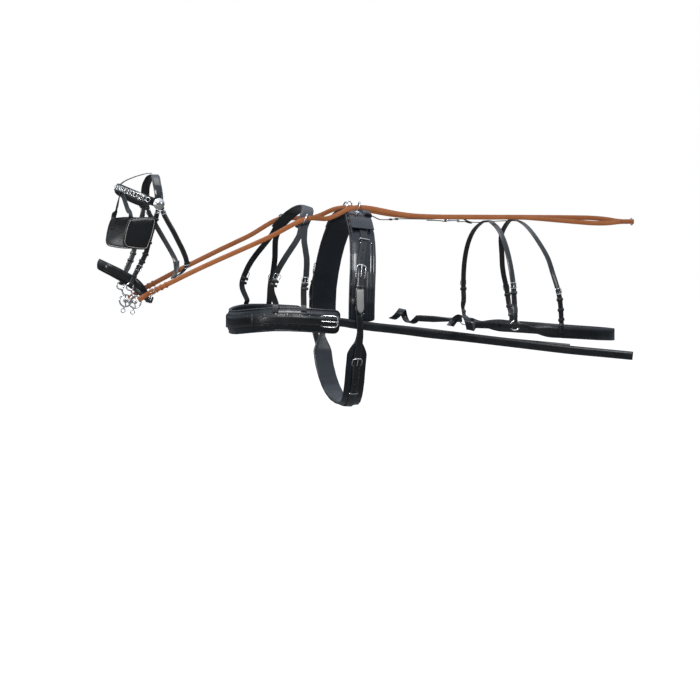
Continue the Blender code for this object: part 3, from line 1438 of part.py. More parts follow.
def make_back_strap():
    """A strap from under the saddle's seat back to the snap, and one from the snap over the croup."""
    point, _, ahead, out = SEAT.frame(SEAT.length / 2)
    start = [point - ahead * back - out * (STRAP_THICK + LAYER_GAP) for back in BACK_STARTS_M]
    lying = [TAILWARD * x + UP * z for x, z in scaled(BACK_LINE_SHARES, SNAP_BEHIND, BACK_DROP)]
    line = facing(smooth_points([*start, *lying], 5), -UP)
    back = Route(folded(line, SNAP_EYE, SNAP_WIRE + GAP, TAILWARD, -UP, BACK_TAIL))

    def back_width(s):
        x = back.spot(s)[0].x
        wide = BACK_START_WIDTH + (BACK_WIDTH - BACK_START_WIDTH) * ease(x, *BACK_WIDENS_M)
        folds = ease(x, SNAP_BEHIND - BACK_TAIL, SNAP_BEHIND - BACK_TAIL / 2)
        return wide + (BACK_FOLD_WIDTH - BACK_WIDTH) * folds

    strap("back_strap", back, back_width, BLACK_LEATHER, thick=BACK_THICK, lift=-BACK_THICK)

    reach, fold = ring_seat(SNAP_BEND_RADIUS, SNAP_WIRE, CROUP_FOLD_WIDTH)
    bar = SNAP_EYE + TAILWARD * (SNAP_LENGTH + reach)
    lying = [on_body(along, 0, lift_share * CROUP_LIFT)[0] for along, lift_share in CROUP_SHARES]
    lying = [Vector((bar.x + CROUP_TAIL / 2, 0, bar.z + fold)), *lying]
    line = facing(smooth_points(lying, 5), -UP)
    croup = Route([*reversed(folded([*reversed(line)], bar, fold, -TAILWARD, -UP, CROUP_TAIL))])

    def croup_width(s):
        share = ease(croup.spot(s)[0].x - SNAP_BEHIND, *CROUP_WIDENS_M)
        return CROUP_FOLD_WIDTH + (CROUP_WIDTH - CROUP_FOLD_WIDTH) * share

    strap("croup_strap", croup, croup_width, BLACK_LEATHER, BACK_THICK, -BACK_THICK, tip=CROUP_TIP)


def make_snap():
    """A sprung snap that lies flat: an eye for the back strap, a hook, and a gate on a pin."""

    def at(behind, aside):
        return SNAP_EYE + TAILWARD * behind - NEARWARD * aside

    corners = [at(*row) for row in scaled(SNAP_EYE_SHARES, SNAP_EYE_LENGTH, SNAP_EYE_WIDTH)]
    snap = as_mesh(wire("back_snap", corners, SNAP_WIRE, None, True, 2))
    snap.data.materials.clear()
    snap.data.materials.append(PLATED_STEEL)
    bend = arc(at(SNAP_LENGTH, 0), TAILWARD, -NEARWARD, SNAP_BEND_RADIUS, -90, 90, 8)
    way = [at(SNAP_EYE_LENGTH, -SNAP_HOOK_SIDE), *bend, at(SNAP_LENGTH - SNAP_TIP, SNAP_BEND_RADIUS)]
    hook = wire("snap_hook", way, SNAP_WIRE, None, sides=2)
    change(snap, as_mesh(hook), "UNION")
    pivot = at(SNAP_PIVOT_BEHIND, SNAP_BEND_RADIUS)
    lug_size = (SNAP_LUG_LENGTH, SNAP_LUG_WIDTH, SNAP_LUG_HEIGHT)
    lug_rise = GATE_HALF + GAP + SNAP_LUG_HEIGHT / 2
    for place_word, sign in (("over", 1), ("under", -1)):
        spot = pivot + UP * lug_rise * sign - TAILWARD * (SNAP_LUG_LENGTH / 2 - SNAP_LUG_BACK)
        change(snap, box(f"snap_lug_{place_word}", Matrix.Translation(spot), lug_size), "UNION")
    change(snap, rod("snap_pin", Matrix.Translation(pivot), SNAP_PIN, 2 * lug_rise, sides=10), "UNION")

    gate = rod("snap_gate", Matrix.Translation(pivot), GATE_EYE_RADIUS, 2 * GATE_HALF, PLATED_STEEL, 16)
    tip = at(SNAP_LENGTH - SNAP_TIP - 2 * GAP, SNAP_BEND_RADIUS)
    arm = as_mesh(wire("snap_arm", [pivot + TAILWARD * (SNAP_PIN + 2 * GAP), tip], GATE_ARM, None, sides=1))
    arm.matrix_world = Matrix.Identity(4)
    change(gate, arm, "UNION")
    bore = rod("snap_bore", Matrix.Translation(pivot), SNAP_PIN + GAP, 4 * GATE_HALF, sides=12)
    change(gate, bore, "DIFFERENCE")


make_back_strap()
make_snap()


# Hip straps, breeching, its rings and the straps that go round the shafts.
HIP_WIDTH = 0.023
HIP_THICK = 0.0035
HIP_FOLD_WIDTH = 0.013
HIP_TAIL = 0.055
HIP_CROSSING = 0.0055
HIP_NARROWS_M = (0.105, 0.135)
HIP_FRONT_SHARES = (
    (0, 0.342, 1),
    (4, 0.342, 0.95),
    (11, 0.3415, 0.15),
    (20, 0.341, 0),
    (40, 0.340, 0),
    (60, 0.341, 0),
    (79, 0.344, 0),
    (91, 0.346, 0),
    (98, 0.3475, 0),
)
HIP_REAR_SHARES = (
    (0, 0.410, 1),
    (4, 0.4105, 0.95),
    (11, 0.4135, 0.15),
    (20, 0.417, 0),
    (38, 0.423, 0),
    (58, 0.439, 0),
    (72, 0.448, 0),
    (86, 0.461, 0),
    (96, 0.467, 0),
)
BREECHING_RING_SHARE = 0.348
BREECHING_RING_TURN_DEG = 103.5
BREECHING_RING_LIFT = 0.010
BREECHING_RING_RADIUS = 0.021
BREECHING_RING_WIRE = 0.0035
BREECHING_WIDTH = 0.052
BREECHING_FOLD_WIDTH = 0.018
BREECHING_THICK = 0.005
BREECHING_TAIL = 0.060
# Behind the breeching ring's centre.
BREECHING_WIDENS_M = (0.0567, 0.1467)
BREECHING_SHARES = (
    (0.6686, 0, -0.631),
    (0.6628, 0.226, -0.630),
    (0.6395, 0.452, -0.627),
    (0.6105, 0.613, -0.623),
    (0.5756, 0.758, -0.618),
    (0.5233, 0.887, -0.609),
    (0.4651, 0.961, -0.600),
    (0.4070, 1.000, -0.587),
    (0.3810, 1.022, -0.577),
)
BREECHING_AXIS_SHARES = ((0.44, 0, 0), (0.44, 0, -1))
HIP_REAR_ON_BREECHING_SHARE = 0.47
# Heights over the breeching's middle and over its outer face, in shares of its width and thickness.
HIP_REAR_END_SHARES = ((0.85, 0.55), (0.55, 0.95), (0.25, 1.12), (-0.15, 1.12))
SHAFT_STRAP_WIDTH = 0.028
SHAFT_STRAP_TAIL = 0.045
SHAFT_LINE_BEHIND = 0.33
SHAFT_LINE_OUT = 0.40
SHAFT_LINE_DROP = 0.428
SHAFT_LINE_POINT = TAILWARD * SHAFT_LINE_BEHIND + NEARWARD * SHAFT_LINE_OUT - UP * SHAFT_LINE_DROP
SHAFT_LINE_WAY = Vector((0.976, 0, -0.21)).normalized()
SHAFT_STRAP_SHARES = ((0.305, 1.066, -0.561), (0.285, 1.105, -0.560), (0.262, 1.160, -0.557))
SHAFT_STRAP_START_BEHIND = 0.400
SHAFT_STRAP_RUN = 0.110
SHAFT_STRAP_TURNS = 1.25
SHAFT_STRAP_STEPS_A_TURN = 24
SHAFT_STRAP_STEP_DEG = 14


def breeching_ring():
    """Centre of the near ring, its direction up, its direction to the rear and its normal."""
    centre, out = on_body(BREECHING_RING_SHARE, BREECHING_RING_TURN_DEG, BREECHING_RING_LIFT)
    rear = (TAILWARD - out * TAILWARD.dot(out)).normalized()
    return centre, rear.cross(out).normalized(), rear, out


def make_breeching():
    centre, up, rear, out = breeching_ring()
    up = up if up.z > 0 else -up
    reach, radius = ring_seat(BREECHING_RING_RADIUS, BREECHING_RING_WIRE, HIP_FOLD_WIDTH)
    front = over_body(HIP_FRONT_SHARES, 0.0, HIP_CROSSING)
    bar = centre + up * reach
    rise = (bar + out * radius - front[-1][0]).dot(out)
    front = [(p, -o) for p, o in lifted_end(front, rise, HIP_TAIL)]
    hip = Route(arched(folded(front, bar, radius, -up, -out, HIP_TAIL)))

    def hip_width(s):
        from_end = min(s, hip.length - s)
        return HIP_FOLD_WIDTH + (HIP_WIDTH - HIP_FOLD_WIDTH) * ease(from_end, *HIP_NARROWS_M)

    strap("hip_strap_front", hip, hip_width, BLACK_LEATHER, thick=HIP_THICK, lift=-HIP_THICK)

    axis = away_from_line(*(body_point(*row) for row in BREECHING_AXIS_SHARES))
    line = facing(smooth_points([body_point(*row) for row in BREECHING_SHARES]), axis)
    reach, radius = ring_seat(BREECHING_RING_RADIUS, BREECHING_RING_WIRE, BREECHING_FOLD_WIDTH)
    bar = centre + rear * reach
    fold_at = bar + out * radius
    line = smooth_pairs([*line[:-1:3], (fold_at + rear * BREECHING_TAIL / 3, out), (fold_at, out)])
    band = Route(arched(folded([(p, -o) for p, o in line], bar, radius, -rear, -out, BREECHING_TAIL)))

    def band_width(s):
        share = ease(band.spot(s)[0].x - centre.x, *BREECHING_WIDENS_M)
        return BREECHING_FOLD_WIDTH + (BREECHING_WIDTH - BREECHING_FOLD_WIDTH) * share

    strap("breeching", band, band_width, BLACK_LEATHER, thick=BREECHING_THICK, lift=-BREECHING_THICK)

    half = Route(line)
    hip_x = HIP_REAR_ON_BREECHING_SHARE * BODY_LENGTH
    at = min(half.lengths, key=lambda s: abs(half.spot(s)[0].x - hip_x))
    point, _, _, face = half.frame(at)
    face = face if face.dot(NEARWARD) > 0 else -face
    ending = [
        (point + UP * BREECHING_WIDTH * high + face * (BREECHING_THICK * over + LAYER_GAP), face)
        for high, over in HIP_REAR_END_SHARES
    ]
    way = smooth_pairs([*over_body(HIP_REAR_SHARES, 0.0, HIP_CROSSING, parts=1), *ending])
    strap("hip_strap_rear", Route(arched(way)), HIP_WIDTH, BLACK_LEATHER, thick=HIP_THICK)

    for side, word in SIDES:
        around = circle(centre, up, rear, BREECHING_RING_RADIUS, 20)
        middle, *around = (p for p, _ in sided(facing([centre, *around], UP), side))
        ring_name = f"breeching_ring_{word}"
        ring = wire(ring_name, around, BREECHING_RING_WIRE, PLATED_STEEL, closed=True, sides=2)
        pivoted(ring, middle)
        pairs = shaft_strap(centre, rear, out)
        name = f"breeching_strap_{word}"
        route = Route(sided(pairs, side))
        width = shaft_strap_width(route)
        strap(name, route, width, BLACK_LEATHER, lift=-STRAP_THICK, step_deg=SHAFT_STRAP_STEP_DEG)


def shaft_strap_width(route):
    """The strap is cut narrow where it folds round the ring."""
    ring_x = route.pairs[-1][0].x

    def width(s):
        near_ring = ease(route.spot(s)[0].x, ring_x - SHAFT_STRAP_TAIL / 2, ring_x)
        return SHAFT_STRAP_WIDTH + (BREECHING_FOLD_WIDTH - SHAFT_STRAP_WIDTH) * near_ring

    return width


def shaft_strap(centre, rear, out):
    """From its turns round the shaft back to the ring, where it is folded round the front of the ring."""
    radius = SHAFT_DIAMETER / 2 + SHAFT_ROOM
    side_way = -NEARWARD
    down_way = SHAFT_LINE_WAY.cross(side_way)
    down_way = down_way if down_way.z < 0 else -down_way
    coils = []
    steps = round(SHAFT_STRAP_TURNS * SHAFT_STRAP_STEPS_A_TURN)
    for k in range(steps + 1):
        turn = math.radians(360 * SHAFT_STRAP_TURNS * k / steps)
        x = SHAFT_STRAP_START_BEHIND - SHAFT_STRAP_RUN * k / steps
        middle = SHAFT_LINE_POINT + SHAFT_LINE_WAY * ((x - SHAFT_LINE_POINT.x) / SHAFT_LINE_WAY.x)
        radial = side_way * math.cos(turn) + down_way * math.sin(turn)
        coils.append((middle + radial * radius, -radial))
    reach, fold = ring_seat(BREECHING_RING_RADIUS, BREECHING_RING_WIRE, BREECHING_FOLD_WIDTH)
    bar = centre - rear * reach
    leading = [(body_point(*row), NEARWARD) for row in reversed(SHAFT_STRAP_SHARES)]
    end = [(bar - out * fold - rear * SHAFT_STRAP_TAIL / 2, out), (bar - out * fold, out)]
    line = [*reversed(coils), *smooth_pairs([coils[0], *leading, *end])[1:]]
    return folded(line, bar, fold, rear, out, SHAFT_STRAP_TAIL)


make_breeching()
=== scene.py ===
"""Driving harness, dressed for its picture: every leather and fitting, in the frame of its solids."""
import math

import bmesh
import bpy
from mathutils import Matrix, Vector
from mathutils.bvhtree import BVHTree


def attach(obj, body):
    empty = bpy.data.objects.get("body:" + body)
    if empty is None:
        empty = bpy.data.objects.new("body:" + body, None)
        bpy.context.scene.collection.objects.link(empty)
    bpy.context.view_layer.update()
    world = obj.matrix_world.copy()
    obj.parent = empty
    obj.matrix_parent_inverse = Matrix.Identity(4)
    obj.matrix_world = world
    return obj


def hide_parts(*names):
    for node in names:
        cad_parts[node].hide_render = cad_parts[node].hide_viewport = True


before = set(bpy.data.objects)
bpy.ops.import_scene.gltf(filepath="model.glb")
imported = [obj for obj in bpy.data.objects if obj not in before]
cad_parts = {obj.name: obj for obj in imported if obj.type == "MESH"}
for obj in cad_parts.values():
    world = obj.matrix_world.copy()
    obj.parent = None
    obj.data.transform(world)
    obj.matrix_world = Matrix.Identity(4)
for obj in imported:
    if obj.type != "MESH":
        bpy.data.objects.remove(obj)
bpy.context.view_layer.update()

# Camera. It stands level with the saddle on the near side, a little towards the bridle, 12 m away with a
# long lens, so that straps on the near and the far side show alike in size. Fittings too small for the
# solids are placed along their straps by the point of the picture that they show at.
VIEW_FROM = Vector((-3.508, -11.476, 0.03))
VIEW_TO = Vector((-0.0201, 0.0061, -0.559))
LENS = 146.9
SENSOR = 36.0
PICTURE = 700
SIGHT = 60
FOCUS = LENS / SENSOR * PICTURE
FORWARD = (VIEW_TO - VIEW_FROM).normalized()
SIDEWAYS = FORWARD.cross(Vector((0, 0, 1))).normalized()
UPWARDS = SIDEWAYS.cross(FORWARD)


def added(name, data):
    """A new object of the scene."""
    piece = bpy.data.objects.new(name, data)
    bpy.context.scene.collection.objects.link(piece)
    return piece


def aimed(piece, place, at):
    """Stands a camera or a lamp at a place and points it at another."""
    piece.location = place
    piece.rotation_euler = (at - place).to_track_quat("-Z", "Y").to_euler()


eye = added("eye", bpy.data.cameras.new("eye"))
aimed(eye, VIEW_FROM, VIEW_TO)
eye.data.lens = LENS
eye.data.sensor_width = SENSOR
eye.data.clip_end = SIGHT
bpy.context.scene.camera = eye

# Saddle pad. A panel stuffed with felt and covered in harness leather, bent over in an arch. Its front edge
# is rolled and sewn, two sewn flutes run down its rear edge, and the seat is screwed to it.
WELD = 0.00001
MILLIMETRE = 0.001
PAD_TURN = math.radians(20)
ARCH_MIDDLE_HEIGHT = -0.35
UPWARD_COUNTS = 5
BROAD_SHARE = 0.5
LEAST_POINTS = 6
LIKE_LENGTH = 0.8


def welded(node):
    """The mesh of a CAD node with its split corners joined again."""
    work = bmesh.new()
    work.from_mesh(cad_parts[node].data)
    bmesh.ops.remove_doubles(work, verts=work.verts, dist=WELD)
    bmesh.ops.recalc_face_normals(work, faces=work.faces)
    work.normal_update()
    return work


def meshed(name, work):
    """A new mesh made of worked geometry."""
    mesh = bpy.data.meshes.new(name)
    work.to_mesh(mesh)
    work.free()
    return mesh


def length_of(points):
    """The length of a line through a list of points."""
    return sum((there - here).length for here, there in zip(points, points[1:]))


def chained(edges):
    """Loose edges sorted end to end, as lists of points; a closed one ends where it starts."""
    joined = {}
    for edge in edges:
        one, other = edge.verts
        joined.setdefault(one, []).append(other)
        joined.setdefault(other, []).append(one)
    lines = []
    while joined:
        ends = [point for point, others in joined.items() if len(others) == 1]
        here = ends[0] if ends else next(iter(joined))
        line = [here.co.copy()]
        while here in joined:
            there = joined[here].pop()
            joined[there].remove(here)
            for point in (here, there):
                if not joined[point]:
                    del joined[point]
            here = there
            line.append(here.co.copy())
        lines.append(line)
    return lines


def sheets_of(work, turn):
    """The faces of a mesh in sheets that bend less than the angle from face to face."""
    sheet_of = {}
    sheets = []
    for seed in work.faces:
        if seed in sheet_of:
            continue
        members = []
        todo = [seed]
        sheet_of[seed] = len(sheets)
        while todo:
            face = todo.pop()
            members.append(face)
            for other in [each for edge in face.edges for each in edge.link_faces]:
                if other not in sheet_of and face.normal.angle(other.normal, 0) < turn:
                    sheet_of[other] = len(sheets)
                    todo.append(other)
        sheets.append(members)
    return sheets, sheet_of


def broad_faces(node, turn):
    """The broad outer faces of a node: their two long edges as points in step, and which way they face."""
    work = welded(node)
    sheets, sheet_of = sheets_of(work, turn)
    areas = [sum(face.calc_area() for face in members) for members in sheets]
    found = []
    for number, members in enumerate(sheets):
        if areas[number] < max(areas) * BROAD_SHARE:
            continue
        rims = {}
        for face in members:
            for edge in face.edges:
                for other in edge.link_faces:
                    if sheet_of[other] != number:
                        rims.setdefault(sheet_of[other], []).append(edge)
        lines = sorted((line for edges in rims.values() for line in chained(edges)), key=length_of)
        if len(lines) < 2 or len(lines[-1]) != len(lines[-2]) or len(lines[-1]) < LEAST_POINTS:
            continue
        if length_of(lines[-2]) < LIKE_LENGTH * length_of(lines[-1]):
            continue
        outwards = 0
        for face in members:
            middle = face.calc_center_median()
            lift = face.normal.z * (middle.z - ARCH_MIDDLE_HEIGHT) / UPWARD_COUNTS
            outwards += face.calc_area() * (face.normal.y * middle.y + lift)
        found.append((lines[-1], lines[-2], outwards > 0, [face.normal.copy() for face in members],
                      [face.calc_center_median() for face in members]))
    work.free()
    outer = [entry for entry in found if entry[2]]
    return outer or found


def slopes_along(points, closed):
    """The direction of a smooth curve at each of its points."""
    count = len(points)
    slopes = []
    for number, here in enumerate(points):
        if closed:
            before = points[(number - 1) % (count - 1)] if number else points[count - 2]
            after = points[(number + 1) % (count - 1)] if number < count - 1 else points[1]
        else:
            before = points[max(number - 1, 0)]
            after = points[min(number + 1, count - 1)]
        back = (here - before).length or MILLIMETRE
        ahead = (after - here).length or MILLIMETRE
        slopes.append(((after - here) / ahead * back + (here - before) / back * ahead) / (back + ahead))
    return slopes


def finer(left, right, closed, step):
    """Both edges of a strap run through more points, cut into the same shares."""
    edges = ((left, slopes_along(left, closed)), (right, slopes_along(right, closed)))
    pairs = []
    for number in range(len(left) - 1):
        long = max((left[number + 1] - left[number]).length, (right[number + 1] - right[number]).length)
        parts = max(1, math.ceil(long / step))
        for part in range(parts):
            share = part / parts
            square, cube = share * share, share * share * share
            pair = []
            for line, slope in edges:
                start, end = line[number], line[number + 1]
                span = (end - start).length
                pair.append(start * (2 * cube - 3 * square + 1) + end * (3 * square - 2 * cube)
                            + slope[number] * span * (cube - 2 * square + share)
                            + slope[number + 1] * span * (cube - square))
            pairs.append(pair)
    if not closed:
        pairs.append([left[-1], right[-1]])
    return pairs


def beside(items, number, closed):
    """The items before and after one of a list, round its end where the list is closed."""
    if closed:
        return items[number - 1], items[(number + 1) % len(items)]
    return items[max(number - 1, 0)], items[min(number + 1, len(items) - 1)]


def joined_runs(runs):
    """One run of paired points out of those that a bent strap's face falls into."""
    while len(runs) > 1:
        one, other = runs[0], runs.pop()
        heads = [sum(one[0][0], Vector()), sum(one[0][-1], Vector())]
        tails = [sum(other[0][0], Vector()), sum(other[0][-1], Vector())]
        gaps = {(a, b): (heads[a] - tails[b]).length for a in (0, 1) for b in (0, 1)}
        near_end, far_end = min(gaps, key=gaps.get)
        if near_end == 0:
            one[0].reverse()
        if far_end == 1:
            other[0].reverse()
        if (one[0][-1][0] - other[0][0][0]).length > (one[0][-1][0] - other[0][0][1]).length:
            other[0] = [[pair[1], pair[0]] for pair in other[0]]
        one[0] = one[0] + other[0][1:]
        one[3] = one[3] + other[3]
        one[4] = one[4] + other[4]
    return runs[0]


def run_of(node, turn, step):
    """A strap's stations in order: middle of its outer face, its three directions and its width."""
    runs = []
    for first, second, outer, normals, middles in broad_faces(node, turn):
        closed = (first[0] - first[-1]).length < WELD
        if closed:
            start = min(range(len(second) - 1), key=lambda number: (second[number] - first[0]).length)
            loop = second[:-1]
            second = loop[start:] + loop[:start + 1]
            if (second[1] - first[1]).length > (second[-2] - first[1]).length:
                second.reverse()
        elif (second[0] - first[0]).length > (second[-1] - first[0]).length:
            second.reverse()
        runs.append([finer(first, second, closed, step), closed, outer, normals, middles])
    pairs, closed, outer, normals, middles = joined_runs(runs)
    stations = []
    reverse = sum((pair[1] - pair[0]).dot(Vector((1, 0, 1))) for pair in pairs) < 0
    for number, pair in enumerate(pairs):
        left, right = (pair[1], pair[0]) if reverse else pair
        before, after = beside(pairs, number, closed)
        along = (sum(after, Vector()) - sum(before, Vector())).normalized()
        across = (right - left).normalized()
        out = along.cross(across).normalized()
        nearest = min(range(len(middles)), key=lambda item: (middles[item] - (left + right) / 2).length)
        stations.append({"at": (left + right) / 2, "along": along, "across": across, "out": out,
                         "wide": (right - left).length, "sign": out.dot(normals[nearest])})
    flip = sum(station["sign"] for station in stations) < 0
    if not outer:
        flip = not flip
    far = 0.0
    for number, station in enumerate(stations):
        if flip:
            station["out"] = -station["out"]
        if number:
            far += (station["at"] - stations[number - 1]["at"]).length
        station["far"] = far
    return {"stations": stations, "closed": closed, "long": far, "outer": outer}


PROBE_REACH = 0.06
PROBE_DEPTH = 1.6 * PROBE_REACH
PROBE_TIMES = 6
PROBE_STEP = MILLIMETRE / 10
ODD_HEIGHT = 3 * MILLIMETRE


def measured(node, step):
    """A padded node's run, with the node's sides, top and lining as measured at each station."""
    run = run_of(node, PAD_TURN, step)
    work = welded(node)
    tree = BVHTree.FromBMesh(work)
    work.free()
    for station in run["stations"]:
        above = station["at"] + station["out"] * PROBE_REACH
        hits = []
        start = above
        for _ in range(PROBE_TIMES):
            place, normal, index, distance = tree.ray_cast(start, -station["out"], 2 * PROBE_REACH)
            if place is None or (above - place).length > PROBE_DEPTH:
                break
            hits.append(PROBE_REACH - (above - place).length)
            start = place - station["out"] * PROBE_STEP
        hits = hits or [0.0]
        station["top"] = max(hits)
        station["low"] = min(hits)
    middle = {}
    for key in ("top", "low"):
        values = sorted(station[key] for station in run["stations"])
        middle[key] = values[len(values) // 2]
    for station in run["stations"]:
        for key in ("top", "low"):
            if abs(station[key] - middle[key]) > ODD_HEIGHT:
                station[key] = middle[key]
        core = station["at"] + station["out"] * (station["top"] + station["low"]) / 2
        for key, way in (("left", -1), ("right", 1)):
            beside = core + station["across"] * way * 2 * PROBE_REACH
            place, normal, index, distance = tree.ray_cast(beside, -station["across"] * way, 2 * PROBE_REACH)
            station[key] = 2 * PROBE_REACH - distance if place is not None else station["wide"] / 2
    return run


def righted(piece):
    """Turns a mesh's faces outwards and shades it smooth."""
    work = bmesh.new()
    work.from_mesh(piece.data)
    bmesh.ops.recalc_face_normals(work, faces=work.faces)
    work.to_mesh(piece.data)
    work.free()
    piece.data.shade_smooth()
    return piece


def solid(name, rings, closed, wears):
    """A mesh skinned over rings of points, with how rubbed each point is."""
    mesh = bpy.data.meshes.new(name)
    size = len(rings[0])
    points = [point for ring in rings for point in ring]
    faces = []
    for number in range(len(rings) if closed else len(rings) - 1):
        here, there = number * size, (number + 1) % len(rings) * size
        for corner in range(size):
            turn = (corner + 1) % size
            faces.append((here + corner, here + turn, there + turn, there + corner))
    if not closed:
        faces.append(tuple(reversed(range(size))))
        faces.append(tuple(range(len(points) - size, len(points))))
    mesh.from_pydata(points, [], faces)
    rubbed = mesh.attributes.new("rubbed", "FLOAT", "POINT")
    rubbed.data.foreach_set("value", [wears[number % size] for number in range(len(points))])
    return righted(added(name, mesh))


def modelled(piece):
    """Applies the modifiers of a piece to its mesh."""
    view = bpy.context.evaluated_depsgraph_get()
    finished = bpy.data.meshes.new_from_object(piece.evaluated_get(view))
    piece.modifiers.clear()
    old = piece.data
    piece.data = finished
    bpy.data.meshes.remove(old)
    return piece


def subdivided(piece):
    """Rounds a piece by subdivision."""
    piece.modifiers.new("rounding", "SUBSURF").levels = 1
    return modelled(piece)


def begun(name):
    """A new material, with its nodes, its links and its shader."""
    material = bpy.data.materials.new(name)
    material.use_nodes = True
    tree = material.node_tree
    return material, tree.nodes, tree.links, tree.nodes["Principled BSDF"]


def fitted(node, **values):
    """Sets a shader node's inputs by their labels."""
    for label, value in values.items():
        node.inputs[label.replace("_", " ")].default_value = value
    return node


def noded(nodes, kind, **values):
    """A new shader node with its inputs set."""
    return fitted(nodes.new("ShaderNode" + kind), **values)


def two_tone(nodes, **colours):
    """A mix of two colours."""
    mix = nodes.new("ShaderNodeMix")
    mix.data_type = "RGBA"
    return fitted(mix, **{label: (*colour, 1) for label, colour in colours.items()})


def sums(nodes, operation):
    """A node that does a sum."""
    node = nodes.new("ShaderNodeMath")
    node.operation = operation
    return node


def linked(links, *rows):
    """Links outputs to inputs, a row for each: a node and its output, a node and its input."""
    for source, output, target, entry in rows:
        links.new(source.outputs[output], target.inputs[entry])


SCUFF = 0.22
LEATHER_GLOSS_SHARES = (0.75, 1.35)


def leather(name, deep, tone, edge, rough, coat, coat_rough, specular):
    """Dressed leather: uneven dye, creases and pores in its bump, a waxed shine, and rubbed edges."""
    material, nodes, links, shader = begun(name)
    place = noded(nodes, "TexCoord")
    cloudy = noded(nodes, "TexNoise", Scale=14, Detail=6)
    pores = noded(nodes, "TexVoronoi", Scale=620)
    creases = noded(nodes, "TexNoise", Scale=130, Detail=8)
    rubbed = noded(nodes, "Attribute")
    rubbed.attribute_name = "rubbed"
    dyed = two_tone(nodes, A=deep, B=tone)
    worn = two_tone(nodes, B=edge)
    patch = sums(nodes, "MULTIPLY")
    smooth, dull = [rough * share for share in LEATHER_GLOSS_SHARES]
    gloss = noded(nodes, "MapRange", From_Min=0.3, From_Max=0.75, To_Min=smooth, To_Max=dull)
    scuffed = sums(nodes, "MULTIPLY_ADD")
    scuffed.inputs[1].default_value = SCUFF
    fine = noded(nodes, "Bump", Strength=0.16, Distance=0.0002)
    broad = noded(nodes, "Bump", Strength=0.2, Distance=0.0005)
    for texture in (cloudy, pores, creases):
        links.new(place.outputs["Object"], texture.inputs["Vector"])
    linked(links,
           (cloudy, "Fac", dyed, "Factor"),
           (dyed, "Result", worn, "A"),
           (rubbed, "Fac", patch, 0),
           (creases, "Fac", patch, 1),
           (patch, "Value", worn, "Factor"),
           (worn, "Result", shader, "Base Color"),
           (cloudy, "Fac", gloss, "Value"),
           (patch, "Value", scuffed, 0),
           (gloss, "Result", scuffed, 2),
           (scuffed, "Value", shader, "Roughness"),
           (pores, "Distance", fine, "Height"),
           (creases, "Fac", broad, "Height"),
           (fine, "Normal", broad, "Normal"),
           (broad, "Normal", shader, "Normal"))
    fitted(shader, Coat_Weight=coat, Coat_Roughness=coat_rough, Specular_IOR_Level=specular)
    return material


BLACK = leather("black harness leather", deep=(0.002, 0.0025, 0.003), tone=(0.006, 0.0085, 0.011),
                edge=(0.045, 0.042, 0.038), rough=0.30, coat=0.50, coat_rough=0.14, specular=0.40)
# The panel leather is black. Its bluish tone is a painted reflection, standing in for the sky's sheen on the
# pads.
PANEL_WITH_PAINTED_SHEEN = leather("black panel leather with painted sky sheen", deep=(0.002, 0.0035, 0.006), tone=(0.006, 0.011, 0.020),
                edge=(0.038, 0.036, 0.034), rough=0.32, coat=0.45, coat_rough=0.16, specular=0.40)


def put(piece, material, body="harness", stands_for=()):
    """Gives a piece its material and slot, fixes it to its body, and lets it stand for CAD nodes."""
    piece.data.materials.clear()
    piece.data.materials.append(material)
    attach(piece, body)
    if stands_for:
        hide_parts(*stands_for)
    return piece


# Places of the stations at a padded end, in shares of its corner radius.
END_SHARES = (0.0, 0.04, 0.12, 0.25, 0.45, 0.7, 1.0)
END_ROOM = 1.2
END_THINNED = 0.4
END_POWER = 4


def between(run, far):
    """The station of a run at any length along it."""
    stations = run["stations"]
    number = min(max(sum(station["far"] <= far for station in stations) - 1, 0), len(stations) - 2)
    here, there = stations[number], stations[number + 1]
    share = (far - here["far"]) / (there["far"] - here["far"] or MILLIMETRE)
    return {key: here[key] * (1 - share) + there[key] * share for key in here}


def rounded_ends(run, radius):
    """Cuts the corners of a padded band's two ends round, and rolls the ends thin."""
    long = run["long"]
    room = END_ROOM * radius
    ends = [share * radius for share in END_SHARES]
    inner = [station for station in run["stations"] if room < station["far"] < long - room]
    stations = ([between(run, far) for far in ends] + inner
                + [between(run, long - far) for far in reversed(ends)])
    for station in stations:
        deep = radius - min(station["far"], long - station["far"])
        if deep > 0:
            cut = radius - math.sqrt(max(radius * radius - deep * deep, 0.0))
            station["left"] -= cut
            station["right"] -= cut
            thick = station["top"] - station["low"]
            station["top"] -= thick * END_THINNED * (deep / radius) ** END_POWER
        for key in ("along", "across", "out"):
            station[key] = station[key].normalized()
    return {**run, "stations": stations}


def stuffed(node, name, run, section, material):
    """A padded band: a section given in shares of half its width and of its thickness, at each station."""
    rings = []
    for station in run["stations"]:
        thick = station["top"] - station["low"]
        ring = []
        for across, height, rub in section:
            side = station["right"] if across > 0 else station["left"]
            ring.append(station["at"] + station["across"] * across * side
                        + station["out"] * (station["low"] + height * thick))
        rings.append(ring)
    piece = subdivided(solid(name, rings, run["closed"], [entry[2] for entry in section]))
    return put(piece, material, stands_for=(node,))


STITCH_LONG = 0.0046
STITCH_PITCH = 0.0068
STITCH_WIDE = 0.0005
STITCH_SIDES = 5
# Where a stitch is round, in shares of its length from its middle.
STITCH_ROUND_AT = (-0.3, 0.3)


def thread(name, tint, light):
    """Waxed linen thread, twisted, a little uneven in colour."""
    material, nodes, links, shader = begun(name)
    place = noded(nodes, "TexCoord")
    twist = noded(nodes, "TexWave", Scale=900)
    twist.bands_direction = "DIAGONAL"
    uneven = noded(nodes, "TexNoise", Scale=40)
    mixed = two_tone(nodes, A=tint, B=light)
    bump = noded(nodes, "Bump", Distance=0.0002)
    linked(links,
           (place, "Object", twist, "Vector"),
           (place, "Object", uneven, "Vector"),
           (uneven, "Fac", mixed, "Factor"),
           (mixed, "Result", shader, "Base Color"),
           (twist, "Fac", bump, "Height"),
           (bump, "Normal", shader, "Normal"))
    fitted(shader, Roughness=0.6, Sheen_Weight=0.3)
    return material


